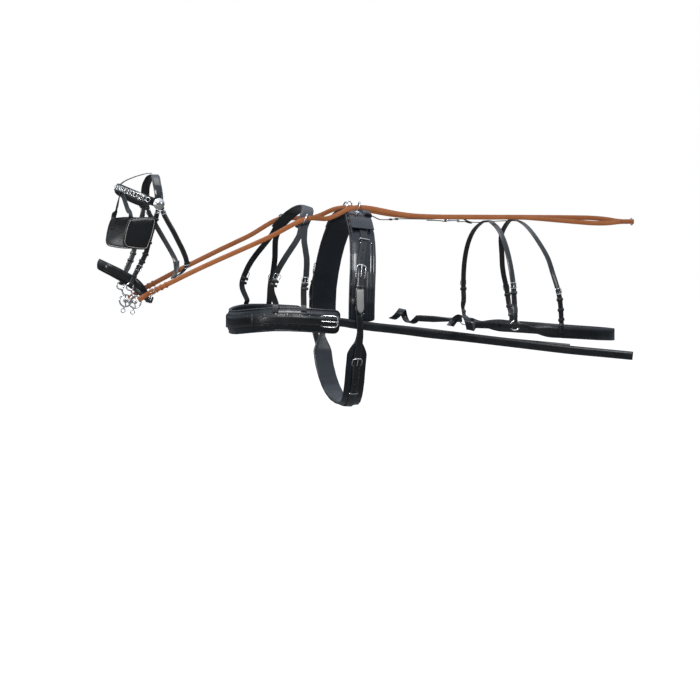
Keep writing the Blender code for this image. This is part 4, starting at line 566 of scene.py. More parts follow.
DARK_THREAD = thread("black waxed thread", tint=(0.030, 0.030, 0.034), light=(0.10, 0.10, 0.105))
PALE_THREAD = thread("natural waxed thread", tint=(0.42, 0.38, 0.31), light=(0.62, 0.58, 0.50))


def stitch(points, faces, at, along, across, out):
    """Adds one stitch, a short thread that dips into the leather at both ends."""
    long, wide, sides = STITCH_LONG, STITCH_WIDE, STITCH_SIDES
    base = len(points)
    points.append(at - along * long / 2 - out * wide / 2)
    for share in STITCH_ROUND_AT:
        for corner in range(sides):
            angle = math.pi * corner / (sides - 1)
            points.append(at + along * share * long + across * math.cos(angle) * wide
                          + out * (math.sin(angle) * wide - wide / 4))
    points.append(at + along * long / 2 - out * wide / 2)
    first, second, last = base + 1, base + 1 + sides, base + 1 + 2 * sides
    for corner in range(sides):
        turn = (corner + 1) % sides
        faces.append((base, first + turn, first + corner))
        faces.append((first + corner, first + turn, second + turn, second + corner))
        faces.append((last, second + corner, second + turn))


def sewn(name, run, insets, rise, material=DARK_THREAD, spans=((0.0, 1.0),)):
    """Rows of stitches along a run: each inset is metres from the edge, minus for the left one."""
    points = []
    faces = []
    stations = run["stations"]
    for begin, end in spans:
        far = begin * run["long"] + STITCH_PITCH
        number = 0
        while far < end * run["long"] - STITCH_PITCH / 2:
            while number < len(stations) - 2 and stations[number + 1]["far"] < far:
                number += 1
            here, there = stations[number], stations[number + 1]
            share = (far - here["far"]) / (there["far"] - here["far"] or MILLIMETRE)
            at = here["at"].lerp(there["at"], share)
            across = here["across"].lerp(there["across"], share).normalized()
            out = here["out"].lerp(there["out"], share).normalized()
            along = (there["at"] - here["at"]).normalized()
            for inset in insets:
                left = here.get("left", here["wide"] / 2)
                right = here.get("right", here["wide"] / 2)
                place = right - inset if inset > 0 else -left - inset
                height = rise(here, place) if callable(rise) else rise
                stitch(points, faces, at + across * place + out * height, along, across, out)
            far += STITCH_PITCH
    mesh = bpy.data.meshes.new(name)
    mesh.from_pydata(points, [], faces)
    put(righted(added(name, mesh)), material)


LEAST_TOP_SHARE = 0.2


def height_in(section):
    """How high a padded band's cover is at any place across it, from the shares of its section."""
    top = sorted(entry[:2] for entry in section if entry[1] > LEAST_TOP_SHARE)

    def at(station, place):
        half = station["right"] if place > 0 else station["left"]
        share = max(-1, min(1, place / half))
        thick = station["top"] - station["low"]
        for (one, low), (other, high) in zip(top, top[1:]):
            if one <= share <= other:
                return station["low"] + thick * (low + (high - low) * (share - one) / (other - one or 1))
        return station["top"]
    return at


# Across, height and how rubbed, round the panel from its front edge.
PAD_SECTION_SHARES = (
    (-1.0, 0.30, 1.0), (-0.99, 0.52, 1.0), (-0.93, 0.66, 0.6), (-0.86, 0.56, 0.1), (-0.83, 0.50, 0.0),
    (-0.79, 0.60, 0.0), (-0.62, 0.86, 0.0), (-0.30, 0.98, 0.2), (0.05, 1.0, 0.2), (0.34, 0.94, 0.1),
    (0.47, 0.80, 0.0), (0.51, 0.72, 0.0), (0.55, 0.80, 0.0), (0.64, 0.88, 0.3), (0.72, 0.78, 0.0),
    (0.755, 0.66, 0.0), (0.79, 0.74, 0.0), (0.87, 0.78, 0.4), (0.95, 0.62, 0.8), (1.0, 0.34, 1.0),
    (0.97, 0.08, 0.6), (0.86, 0.0, 0.2), (0.0, 0.0, 0.0), (-0.86, 0.0, 0.2), (-0.97, 0.08, 0.6))
PAD_STEP = 0.016
PAD_CORNER = 0.012
PAD_EDGE_IN = 0.0095
PAD_FLUTES_IN = (0.0137, 0.0274)
pad_run = rounded_ends(measured("saddle_pad", PAD_STEP), PAD_CORNER)
saddle_pad = stuffed("saddle_pad", "saddle_pad_panel", pad_run, PAD_SECTION_SHARES, PANEL_WITH_PAINTED_SHEEN)
pad_height = height_in(PAD_SECTION_SHARES)
sewn("saddle_pad_edge_stitching", pad_run, (-PAD_EDGE_IN,), pad_height, PALE_THREAD)
sewn("saddle_pad_flute_stitching", pad_run, PAD_FLUTES_IN, pad_height)

# Saddle seat. A leather-covered tree with a raised cantle sits across the pad, with its skirts sewn round
# their edges. It is screwed down through the terrets.
FLAT_TURN = math.radians(1)
EDGE_TURN = math.radians(30)
SOFT_RUB = 0.15


def softened(node, round_by, rounds=2, material=BLACK, turn=EDGE_TURN, flat=True):
    """A leather piece in the form of its CAD node, with its cut edges rolled over."""
    name = node + "_leather"
    work = welded(node)
    bmesh.ops.dissolve_limit(work, angle_limit=FLAT_TURN, verts=work.verts, edges=work.edges)
    piece = added(name, meshed(name, work))
    bevel = piece.modifiers.new("edges", "BEVEL")
    bevel.width = round_by
    bevel.segments = rounds
    bevel.limit_method = "ANGLE"
    bevel.angle_limit = turn
    bevel.use_clamp_overlap = True
    if flat:
        piece.modifiers.new("shading", "WEIGHTED_NORMAL")
    piece.data.shade_smooth()
    modelled(piece)
    rubbed = piece.data.attributes.new("rubbed", "FLOAT", "POINT")
    rubbed.data.foreach_set("value", [SOFT_RUB] * len(piece.data.vertices))
    return put(piece, material, stands_for=(node,))


SEAT_EDGE = 0.0018
SEAT_ROUNDS = 3
softened("saddle_seat", SEAT_EDGE, SEAT_ROUNDS, PANEL_WITH_PAINTED_SHEEN)


# Terrets and check hook. Cast rings on feet, screwed through the seat, carry the reins, and a hook between
# them holds a check rein, when one is worn. All are plated.
STEEL_GLOSS_SHARES = (0.7, 1.6)


def plated(name, light, dark, rough, metallic):
    """Plated steel: bright, with fine scratches, a few dull patches and a soft dark bloom."""
    material, nodes, links, shader = begun(name)
    place = noded(nodes, "TexCoord")
    cloudy = noded(nodes, "TexNoise", Scale=70, Detail=5)
    scratch = noded(nodes, "TexNoise", Scale=1300, Detail=3)
    mixed = two_tone(nodes, A=light, B=dark)
    sharpened = noded(nodes, "MapRange", From_Min=0.45, From_Max=0.8)
    smooth, dull = [rough * share for share in STEEL_GLOSS_SHARES]
    gloss = noded(nodes, "MapRange", To_Min=smooth, To_Max=dull)
    bump = noded(nodes, "Bump", Strength=0.12, Distance=0.0002)
    linked(links,
           (place, "Object", cloudy, "Vector"),
           (place, "Object", scratch, "Vector"),
           (cloudy, "Fac", sharpened, "Value"),
           (sharpened, "Result", mixed, "Factor"),
           (mixed, "Result", shader, "Base Color"),
           (cloudy, "Fac", gloss, "Value"),
           (gloss, "Result", shader, "Roughness"),
           (scratch, "Fac", bump, "Height"),
           (bump, "Normal", shader, "Normal"))
    fitted(shader, Metallic=metallic)
    return material


STEEL = plated("plated steel", light=(0.86, 0.86, 0.85), dark=(0.58, 0.57, 0.55), rough=0.20, metallic=0.96)
FACET_TURN = math.radians(40)
ANY_TURN = math.radians(180)
CAST_SWELL = 0.00022


def cast(node, body="harness"):
    """A metal fitting: its CAD node's form with the facets rounded away."""
    name = node + "_casting"
    work = welded(node)
    bmesh.ops.join_triangles(work, faces=work.faces, angle_face_threshold=FACET_TURN,
                             angle_shape_threshold=ANY_TURN, cmp_seam=False, cmp_sharp=False,
                             cmp_uvs=False, cmp_vcols=False, cmp_materials=False)
    work.normal_update()
    for vert in work.verts:
        vert.co += vert.normal * CAST_SWELL
    piece = subdivided(righted(added(name, meshed(name, work))))
    return put(piece, STEEL, body, stands_for=(node,))


for fitting in ("terret_near", "terret_far", "check_hook"):
    cast(fitting)

# Backband. The strap that carries the tugs runs over the seat, under its skirts, down to the tug buckles:
# two plies of harness leather, creased and sewn along both edges, held by bars and keepers.
STRAP_THICK = 0.004
STRAP_STEP = 0.010
STRAP_TURN = math.radians(40)
CREASE_IN = 0.0026
CREASE_IN_SHARE = 0.18
CREASE_WIDE = 0.0006
CREASE_DEEP = 0.0005
CORNER_SHARE = 0.45
CROWN_SHARE = 0.3
STITCH_FROM_CREASE = 1.9
# Places in from the edge in shares of a corner, down in shares of the thickness, and how rubbed.
RIM_SHARES = ((0.0, 0.5, 1.0), (0.3, 0.16, 1.0), (1.0, 0.02, 0.7))
UNDER_SHARES = ((1.0, 1.0, 0.6), (0.3, 0.84, 1.0))


def strap_outline(wide, thick):
    """The cut end of a strap: corners rubbed round, and a creased line near both edges of its face."""
    half = wide / 2
    soft = thick * CORNER_SHARE
    inset = min(CREASE_IN, wide * CREASE_IN_SHARE)
    rim, under = ([(half - soft * share, -thick * down, rub) for share, down, rub in shares]
                  for shares in (RIM_SHARES, UNDER_SHARES))
    side = rim + [(half - inset + CREASE_WIDE, 0.0, 0.2), (half - inset, -CREASE_DEEP, 0.0),
                  (half - inset - CREASE_WIDE, 0.0, 0.1), (half * CROWN_SHARE, 0.0, 0.12)]
    mirrored = [(-across, height, rub) for across, height, rub in side]
    below = [(-across, height, rub) for across, height, rub in reversed(under)]
    return side + list(reversed(mirrored)) + below + under


def laid(name, stations, closed, thick, rise, material, stands_for=()):
    """A strap skinned over its stations."""
    rings = [[station["at"] + station["across"] * across + station["out"] * (height + rise)
              for across, height, rub in strap_outline(station["wide"], thick)]
             for station in stations]
    wears = [rub for across, height, rub in strap_outline(stations[0]["wide"], thick)]
    put(solid(name, rings, closed, wears), material, stands_for=stands_for)


def strap(node, thick, material=BLACK, step=STRAP_STEP, sewn_rows=True):
    """A strap laid in the CAD strap's place, with its section, its creases and two rows of stitches."""
    run = run_of(node, STRAP_TURN, step)
    rise = 0.0 if run["outer"] else thick
    laid(node + "_leather", run["stations"], run["closed"], thick, rise, material, (node,))
    if sewn_rows:
        inset = min(CREASE_IN, run["stations"][0]["wide"] * CREASE_IN_SHARE) * STITCH_FROM_CREASE
        sewn(node + "_stitching", run, (inset, -inset), rise)
    return run


def in_picture(point):
    """Where a point of the harness shows in the picture, in pixels from its top left corner."""
    offset = Vector(point) - VIEW_FROM
    scale = FOCUS / offset.dot(FORWARD)
    return PICTURE / 2 + offset.dot(SIDEWAYS) * scale, PICTURE / 2 - offset.dot(UPWARDS) * scale


def station_at(run, pixel):
    """The station on the near side of a run that shows nearest to a point of the picture."""
    def miss(station):
        across, down = in_picture(station["at"])
        return math.hypot(across - pixel[0], down - pixel[1])
    near = [station for station in run["stations"] if station["at"].y < 0]
    return min(near or run["stations"], key=miss)


def on_both_sides(run, pixel):
    """The near station at a point of the picture and the one across from it, with their sides."""
    near = station_at(run, pixel)
    across = Vector((near["at"].x, -near["at"].y, near["at"].z))
    return (("near", near), ("far", min(run["stations"], key=lambda each: (each["at"] - across).length)))


def flipped(station):
    """The same station on the far side."""
    turned_over = dict(station)
    for key in ("at", "along", "across", "out"):
        place = station[key]
        turned_over[key] = Vector((place.x, -place.y, place.z))
    return turned_over


def both(station):
    """A near station and its mirror image, with their sides."""
    return (("near", station), ("far", flipped(station)))


def moved(station, by):
    """A station a little further along."""
    return {**station, "at": station["at"] + station["along"] * by}


TURNED_SIDES = 20
WIRE_SIDES = 8
WIRE_STEP = 0.004


def circle(middle, aside, third, radius, sides):
    """Points round a middle, in the plane of two directions."""
    return [middle + (aside * math.cos(2 * math.pi * corner / sides)
                      + third * math.sin(2 * math.pi * corner / sides)) * radius
            for corner in range(sides)]


def turned(name, station, outline, material=STEEL):
    """A turned piece on a station: radius and height of each line of its outline."""
    axis = station["out"].normalized()
    aside = axis.orthogonal().normalized()
    third = axis.cross(aside)
    rings = [circle(station["at"] + axis * height, aside, third, radius, TURNED_SIDES)
             for radius, height in outline]
    put(solid(name, rings, False, [0.0] * TURNED_SIDES), material)


def wire(name, points, radius, closed=False, material=STEEL, sides=WIRE_SIDES,
         step=WIRE_STEP):
    """A bent wire or cord of round section through the points."""
    if closed:
        points = points + [points[0]]
    line = [pair[0] for pair in finer(points, points, closed, step)]
    rings = []
    aside = None
    for number, here in enumerate(line):
        before, after = beside(line, number, closed)
        along = (after - before).normalized()
        if aside is None:
            aside = along.orthogonal().normalized()
        aside = (aside - along * aside.dot(along)).normalized()
        rings.append(circle(here, aside, along.cross(aside), radius, sides))
    return put(solid(name, rings, closed, [0.0] * sides), material)


KEEPER_LONG = 0.011
KEEPER_GAUGE = 0.0018
KEEPER_ROOM = 0.0006
KEEPER_RUB = 0.6
# Places along a keeper in shares of its length, and how thick it is there.
KEEPER_SHARES = ((-0.5, 0.0), (-0.5, 0.7), (-0.3, 1.0), (0.0, 1.15), (0.3, 1.0), (0.5, 0.7), (0.5, 0.0))
KEEPER_CORNER_SHARES = ((1.0, 0.35), (0.35, 1.0))


def keeper(name, station, thick, rise=0.0, long=KEEPER_LONG, material=BLACK):
    """A band round a strap that holds a loose end down, thicker along its middle."""
    half = station["wide"] / 2 + KEEPER_ROOM
    top, low = rise + KEEPER_ROOM, rise - thick - KEEPER_ROOM
    rings = []
    for share, grow in KEEPER_SHARES:
        ring = []
        for across, height, way_across, way_out in (
                (-half, top, -1, 1), (half, top, 1, 1), (half, low, 1, -1), (-half, low, -1, -1)):
            order = 1 if way_across * way_out < 0 else -1
            for push_across, push_out in KEEPER_CORNER_SHARES[::order]:
                ring.append(station["at"] + station["along"] * share * long
                            + station["across"] * (across + way_across * push_across * KEEPER_GAUGE * grow)
                            + station["out"] * (height + way_out * push_out * KEEPER_GAUGE * grow))
        rings.append(ring)
    put(solid(name, rings, True, [KEEPER_RUB] * len(rings[0])), material)


def keeper_pairs(name, pairs, thick, long=KEEPER_LONG, material=BLACK):
    """Keepers one after another, each on a near and a far station."""
    for number, pair in enumerate(pairs):
        for side, station in pair:
            keeper(f"{name}_{number}_{side}", station, thick, 0.0, long, material)


# Places across a bar in shares of half its length, and heights over the strap.
BAR_LINE = ((-1.0, -0.003), (-1.0, 0.001), (-0.94, 0.0042), (-0.8, 0.0046), (0.0, 0.0048), (0.8, 0.0046),
            (0.94, 0.0042), (1.0, 0.001), (1.0, -0.003))


def bar_over(name, station, beyond, gauge):
    """A bent bar over a strap, with both ends let into the leather beside it."""
    half = station["wide"] / 2 + beyond
    wire(name, [station["at"] + station["across"] * (share * half) + station["out"] * lift
                for share, lift in BAR_LINE], gauge)


TREES = {}
SPOT_TIMES = 4
SPOT_BEFORE = 0.3
STUD_AIM = 5


def spot_on(node, pixel):
    """The point of a node that shows at a point of the picture, or lies nearest to it, and its normal."""
    if node not in TREES:
        work = welded(node)
        TREES[node] = BVHTree.FromBMesh(work)
        work.free()
    way = (FORWARD + SIDEWAYS * ((pixel[0] - PICTURE / 2) / FOCUS)
           - UPWARDS * ((pixel[1] - PICTURE / 2) / FOCUS)).normalized()
    place, normal, index, distance = TREES[node].ray_cast(VIEW_FROM, way)
    if place is None:
        reach = -VIEW_FROM.dot(way) - SPOT_BEFORE
        for _ in range(SPOT_TIMES):
            place, normal, index, distance = TREES[node].find_nearest(VIEW_FROM + way * reach)
            reach = (place - VIEW_FROM).dot(way)
    return place, (normal if normal.dot(way) < 0 else -normal)


def station_on(node, pixel, toward, wide):
    """A station on the part of a node that shows at a point, its length towards a second point."""
    at, out = spot_on(node, pixel)
    other, _ = spot_on(node, toward)
    along = (other - at).normalized()
    across = along.cross(out).normalized()
    return {"at": at, "along": along, "across": across, "out": across.cross(along).normalized(),
            "wide": wide}


def studs(name, node, pixel, outline):
    """A stud on a node at a point of the picture, and its fellow on the far side."""
    for side, station in both(station_on(node, pixel, (pixel[0], pixel[1] + STUD_AIM), 0.0)):
        turned(f"{name}_{side}", station, outline)


FOOTMAN_BAR_AT = (366, 239.5)
FOOTMAN_BEYOND = 0.006
FOOTMAN_GAUGE = 0.0023
BACKBAND_KEEPER_AT = (360, 287)
BACKBAND_HOLES_AT = ((362, 249.5), (360.5, 258), (359.5, 277))
FOOTMAN_STUDS_AT = (("backband", (360.5, 243)), ("saddle_pad", (371.5, 243.5)))
PAD_STUDS_AT = ((363.6, 308), (363.6, 314))
FOOTMAN_STUD_OUTLINE = ((0.0030, -0.001), (0.0031, 0.0012), (0.0024, 0.0026), (0.0010, 0.0032),
                        (0.0001, 0.0033))
PAD_STUD_OUTLINE = ((0.0028, -0.003), (0.0029, 0.0010), (0.0022, 0.0022), (0.0010, 0.0028),
                    (0.0001, 0.0029))
HOLE_RADIUS = 0.0021
# Radii in shares of the hole's, and heights.
HOLE_LINE = ((1.5, -0.0004), (1.45, 0.00025), (1.1, 0.0003), (0.8, 0.0001), (0.05, 0.00005))
# Each punched hole is a flat dark disc on its strap. Its near-black colour is painted shade, standing in for
# the shadow inside the hole.
PAINTED_HOLE_SHADE = leather("painted shade in the punched holes", deep=(0.001, 0.001, 0.001), tone=(0.004, 0.004, 0.004),
                 edge=(0.02, 0.02, 0.02), rough=0.6, coat=0.0, coat_rough=0.3, specular=0.2)
backband_run = strap("backband", STRAP_THICK)
for side, station in on_both_sides(backband_run, FOOTMAN_BAR_AT):
    bar_over(f"footman_bar_{side}", station, FOOTMAN_BEYOND, FOOTMAN_GAUGE)
for side, station in on_both_sides(backband_run, BACKBAND_KEEPER_AT):
    keeper(f"backband_keeper_{side}", station, STRAP_THICK)
for number, (node, pixel) in enumerate(FOOTMAN_STUDS_AT):
    studs(f"footman_stud_{number}", node, pixel, FOOTMAN_STUD_OUTLINE)
for number, pixel in enumerate(PAD_STUDS_AT):
    studs(f"pad_stud_{number}", "saddle_pad", pixel, PAD_STUD_OUTLINE)
# Each backband hole is a disc of painted shade.
for number, pixel in enumerate(BACKBAND_HOLES_AT):
    for side, station in on_both_sides(backband_run, pixel):
        outline = [(HOLE_RADIUS * share, height) for share, height in HOLE_LINE]
        turned(f"backband_hole_{number}_{side}", station, outline, PAINTED_HOLE_SHADE)

# Tug buckles and tugs. A heavy buckle on each end of the backband holds a loop of doubled leather,
# and its tongue lies on the arch. The backband's loose end comes down cut to a point, coloured pale grey
# as a painted highlight of glare.
SIDES = ("near", "far")
TUG_STEP = 0.006
# The strap end's pale grey is a painted highlight. It stands in for the sun's glare on the black leather.
POINT_WITH_PAINTED_GLARE = leather("strap end with painted glare", deep=(0.20, 0.20, 0.195), tone=(0.34, 0.335, 0.32),
                    edge=(0.12, 0.11, 0.10), rough=0.55, coat=0.1, coat_rough=0.3, specular=0.4)
POINT_FROM = (360.0, 289.5)
POINT_TO = (360.6, 314)
POINT_WIDE = 0.030
POINT_RISE = 0.0008
POINT_PARTS = 10
POINT_SHARE = 0.3
POINT_CUT = 0.78
for side in SIDES:
    cast(f"tug_buckle_{side}")
    cast(f"tug_tongue_{side}", f"{side}_tug_tongue")
    strap(f"shaft_tug_{side}", STRAP_THICK, step=TUG_STEP)
for side in SIDES:
    stations = []
    for number in range(POINT_PARTS + 1):
        share = number / POINT_PARTS
        pixel = [start + (end - start) * share for start, end in zip(POINT_FROM, POINT_TO)]
        beyond = [here + (end - start) / POINT_PARTS
                  for here, start, end in zip(pixel, POINT_FROM, POINT_TO)]
        station = station_on("backband", pixel, beyond, POINT_WIDE)
        narrow = max(0.0, (share - 1 + POINT_SHARE) / POINT_SHARE)
        station["wide"] = POINT_WIDE * (1 - POINT_CUT * narrow * narrow)
        stations.append(station if side == "near" else flipped(station))
    out = sum((station["out"] for station in stations), Vector()).normalized()
    along = (stations[-1]["at"] - stations[0]["at"]).normalized()
    across = along.cross(out).normalized()
    stations = [{**station, "across": across, "out": out} for station in stations]
    laid(f"tug_strap_point_{side}", stations, False, STRAP_THICK, STRAP_THICK + POINT_RISE, POINT_WITH_PAINTED_GLARE)

# Girth and bellyband. The padded girth buckles the saddle on from below, and the bellyband runs in its
# loops, up through its buckles to the tugs' billets.
def whole_section(top, under):
    """A padded band's section out of its left half: the top, then the underside, both from the edge in."""
    right = [(-across, height, rub) for across, height, rub in reversed(top) if across]
    below = [(-across, height, rub) for across, height, rub in under if across]
    return list(top) + right + below + list(reversed(under))


GIRTH_SECTION_SHARES = whole_section(
    top=((-1.0, 0.35, 1.0), (-0.985, 0.62, 1.0), (-0.93, 0.80, 0.5), (-0.88, 0.66, 0.0),
         (-0.85, 0.58, 0.0), (-0.80, 0.70, 0.0), (-0.60, 0.92, 0.1), (0.0, 1.0, 0.2)),
    under=((-0.96, 0.06, 0.5), (-0.84, 0.0, 0.1), (0.0, 0.0, 0.0)))
GIRTH_EDGE_IN = 0.0064
GIRTH_LOOP_AT = (354.5, 393)
GIRTH_LOOP_BEYOND = 0.002
GIRTH_LOOP_GAUGE = 0.0017
GIRTH_LOOP_PAST_BAR = 0.010
girth_run = measured("girth", PAD_STEP)
girth = stuffed("girth", "girth_panel", girth_run, GIRTH_SECTION_SHARES, PANEL_WITH_PAINTED_SHEEN)
sewn("girth_edge_stitching", girth_run, (GIRTH_EDGE_IN, -GIRTH_EDGE_IN), height_in(GIRTH_SECTION_SHARES))
bellyband_run = strap("bellyband", STRAP_THICK)
for side in SIDES:
    strap(f"bellyband_billet_{side}", STRAP_THICK)
    cast(f"girth_buckle_{side}")
    cast(f"girth_tongue_{side}", f"{side}_girth_tongue")
for side, station in on_both_sides(bellyband_run, GIRTH_LOOP_AT):
    bar_over(f"girth_loop_bar_{side}", station, GIRTH_LOOP_BEYOND, GIRTH_LOOP_GAUGE)
    keeper(f"girth_loop_{side}", moved(station, GIRTH_LOOP_PAST_BAR), STRAP_THICK)

# Breast collar. A broad padded band across the front takes the pull. The strap sewn along its middle ends
# at both trace buckles, and keepers hold the trace's loose end down.
COLLAR_SECTION_SHARES = whole_section(
    top=((-1.0, 0.34, 1.0), (-0.985, 0.60, 1.0), (-0.92, 0.76, 0.5), (-0.87, 0.62, 0.0),
         (-0.84, 0.54, 0.0), (-0.79, 0.68, 0.0), (-0.60, 0.92, 0.2), (-0.38, 1.0, 0.2), (0.0, 1.0, 0.1)),
    under=((-0.96, 0.06, 0.5), (-0.84, 0.0, 0.1), (0.0, 0.0, 0.0)))
COLLAR_STEP = 0.014
COLLAR_CORNER = 0.024
COLLAR_EDGE_IN = 0.0080
TRACE_KEEPERS_AT = ((252, 320), (264, 320), (275, 320), (287, 320), (299, 320), (310, 320))
collar_run = rounded_ends(measured("breast_collar", COLLAR_STEP), COLLAR_CORNER)
collar = stuffed("breast_collar", "breast_collar_panel", collar_run, COLLAR_SECTION_SHARES, PANEL_WITH_PAINTED_SHEEN)
sewn("breast_collar_edge_stitching", collar_run, (COLLAR_EDGE_IN, -COLLAR_EDGE_IN),
     height_in(COLLAR_SECTION_SHARES))
breast_run = strap("breast_strap", STRAP_THICK)
keeper_pairs("trace_keeper", [on_both_sides(breast_run, pixel) for pixel in TRACE_KEEPERS_AT], STRAP_THICK)
for side in SIDES:
    cast(f"trace_buckle_{side}")
    cast(f"trace_tongue_{side}", f"{side}_trace_tongue")

# Traces. Long straps of two plies, sewn along both edges, run back from the collar's buckles. Holes are
# punched behind each buckle to let the trace out.
TRACE_STEP = 0.014
TRACE_HOLES_AT = ((371, 329), (384, 330.755), (397, 332.51), (410, 334.265))
TRACE_HOLE_OUTLINE = ((0.0034, -0.0004), (0.0033, 0.00025), (0.0025, 0.0003), (0.0018, 0.0001),
                      (0.0001, 0.00005))
trace_runs = {side: strap(f"trace_{side}", STRAP_THICK, step=TRACE_STEP) for side in SIDES}
# Each trace hole is a disc of painted shade.
for number, pixel in enumerate(TRACE_HOLES_AT):
    for side, place in both(station_at(trace_runs["near"], pixel)):
        turned(f"trace_hole_{number}_{side}", place, TRACE_HOLE_OUTLINE, PAINTED_HOLE_SHADE)

# Neck strap. A padded leather that holds the breast collar up by four branches, each with a small buckle.
# A short sleeve on each side holds a ring terret, which tips on its pin.
NECK_EDGE = 0.0012
NECK_BRANCH_WIDE = 0.024
NECK_BUCKLE_LONG = 0.022
NECK_KEEPERS_PAST = (0.018, 0.036)
# Where a buckle shows, and a point further along its branch.
NECK_BUCKLES_AT = (((277, 277), (274.6, 283)), ((304.9, 280), (304.9, 286)))
THIN_WIRE_SIDES = 6
BUCKLE_GAUGE = 0.0015
BUCKLE_ROOM = 0.0012
BUCKLE_CORNER_SHARE = 0.22
BUCKLE_CORNER_CUT = 0.3
BUCKLE_TONGUE_SHARE = 0.75
# Places along the tongue in shares of the buckle's length, and heights in wire gauges.
BUCKLE_TONGUE_LINE = ((0.5, 0), (0.5, 2), (0, 1), (-0.5, 1.9), (-0.6, 1.6))


def small_buckle(name, station, long, keepers=(), thick=STRAP_THICK, rise=0.0):
    """A sewn-on buckle: its frame round the strap, its tongue, and keepers for the loose end."""
    half = station["wide"] / 2 + BUCKLE_ROOM
    corner = half * BUCKLE_CORNER_SHARE
    lift = rise + BUCKLE_GAUGE

    def at(across, along, height):
        return (station["at"] + station["across"] * across + station["along"] * along
                + station["out"] * height)
    outline = []
    for across, along in ((-half, -long / 2), (-half, long / 2), (half, long / 2), (half, -long / 2)):
        in_across, in_along = math.copysign(corner, -across), math.copysign(corner, -along)
        bend = [(across, along + 2 * in_along), (across, along + in_along),
                (across + in_across * BUCKLE_CORNER_CUT, along + in_along * BUCKLE_CORNER_CUT),
                (across + in_across, along), (across + 2 * in_across, along)]
        outline += reversed(bend) if across * along > 0 else bend
    wire(name + "_frame", [at(across, along, lift) for across, along in outline], BUCKLE_GAUGE, closed=True)
    tongue = [at(0, long * share, lift + high * BUCKLE_GAUGE) for share, high in BUCKLE_TONGUE_LINE]
    wire(name + "_tongue", tongue, BUCKLE_GAUGE * BUCKLE_TONGUE_SHARE, sides=THIN_WIRE_SIDES)
    for number, far in enumerate(keepers):
        keeper(f"{name}_keeper_{number}", moved(station, far), thick, rise)


neck_strap = softened("neck_strap", NECK_EDGE)
for number, (pixel, toward) in enumerate(NECK_BUCKLES_AT):
    for side, place in both(station_on("neck_strap", pixel, toward, NECK_BRANCH_WIDE)):
        small_buckle(f"neck_buckle_{number}_{side}", place, NECK_BUCKLE_LONG, NECK_KEEPERS_PAST)
for side in SIDES:
    cast(f"neck_terret_{side}", f"{side}_neck_ring")

# Crownpiece and browband. Narrow leathers over the top of the bridle and across its front. The browband
# carries a clincher chain of plated links laid flat, each leaning on the next.
THIN_THICK = 0.003
LINK_RADIUS = 0.0098
LINK_WIRE = 0.0016
LINK_PITCH = LINK_RADIUS * 1.4
LINK_LEAN = 0.9
LINK_CORNERS = 12
LINK_STEP = 0.01
CHAIN_STEP = 0.008
strap("crownpiece", THIN_THICK)
strap("browband", THIN_THICK)
chain_run = run_of("browband_chain", STRAP_TURN, CHAIN_STEP)
far = LINK_RADIUS
number = 0
while far < chain_run["long"] - LINK_RADIUS:
    station = min(chain_run["stations"], key=lambda each: abs(each["far"] - far))
    lean = LINK_LEAN if number % 2 else -LINK_LEAN
    ring = []
    for corner in range(LINK_CORNERS):
        angle = 2 * math.pi * corner / LINK_CORNERS
        ring.append(station["at"] + station["along"] * math.cos(angle) * LINK_RADIUS
                    + station["across"] * math.sin(angle) * LINK_RADIUS
                    + station["out"] * math.cos(angle) * lean * LINK_WIRE)
    wire(f"clincher_link_{number}", ring, LINK_WIRE, closed=True, sides=THIN_WIRE_SIDES, step=LINK_STEP)
    far += LINK_PITCH
    number += 1
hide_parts("browband_chain")

# Rosettes, cheekpieces and winkers. Each cheekpiece of doubled leather holds a winker: a cupped plate of two
# leathers over a stiffener, with a bead sewn round its edge.
CHEEK_THICK = 0.006
WINKER_CROWN = 0.0055
WINKER_THICK = 0.006
WINKER_STEP = 0.004
WINKER_FACING = 0.9
# Places in shares of the way from the middle to the edge, heights in shares of the thickness, how rubbed.
WINKER_SHARES = ((1.0, 0.0, 1.0), (0.992, 0.34, 1.0), (0.965, 0.60, 0.5), (0.94, 0.46, 0.1),
                 (0.92, 0.36, 0.0), (0.89, 0.48, 0.0), (0.80, 0.56, 0.1), (0.60, 0.60, 0.1),
                 (0.35, 0.60, 0.1), (0.04, 0.60, 0.1))
BEAD_SHARE = 0.905
BEAD_HEIGHT = WINKER_CROWN * 0.18 + 0.50 * WINKER_THICK
BEAD_GAUGE = 0.0009


def winker(side):
    """The plate of one side, skinned over rings that grow and shrink from face to face, and its bead."""
    node = f"winker_{side}"
    work = welded(node)
    normal = max(work.faces, key=lambda face: face.calc_area()).normal.copy()
    if normal.y * (1 if side == "far" else -1) < 0:
        normal = -normal
    edges = [edge for edge in work.edges if len(edge.link_faces) == 2
             and edge.calc_face_angle(0) > STRAP_TURN
             and max(face.normal.dot(normal) for face in edge.link_faces) > WINKER_FACING]
    outline = chained(edges)[0]
    work.free()
    line = [pair[0] for pair in finer(outline, outline, True, WINKER_STEP)]
    middle = sum(line, Vector()) / len(line) - normal * WINKER_THICK / 2

    def ring(share, height, points):
        return [middle + (point - normal * WINKER_THICK / 2 - middle) * share + normal * height
                for point in points]
    shape = list(reversed(WINKER_SHARES)) + [(share, -high, rub) for share, high, rub in WINKER_SHARES[1:]]
    rings = [ring(share, WINKER_CROWN * (1 - share * share) + high * WINKER_THICK, line)
             for share, high, rub in shape]
    piece = solid(node + "_leather", rings, False, [0.0] * len(line))
    piece.data.attributes["rubbed"].data.foreach_set("value", [rub for _, _, rub in shape for _ in line])
    put(piece, BLACK, stands_for=(node,))
    wire(node + "_bead", ring(BEAD_SHARE, BEAD_HEIGHT, line[::2]), BEAD_GAUGE, closed=True,
         material=PALE_THREAD, sides=THIN_WIRE_SIDES)


cheek_runs = {}
for side in SIDES:
    cast(f"rosette_{side}")
    cheek_runs[side] = strap(f"cheekpiece_{side}", CHEEK_THICK)
    winker(side)

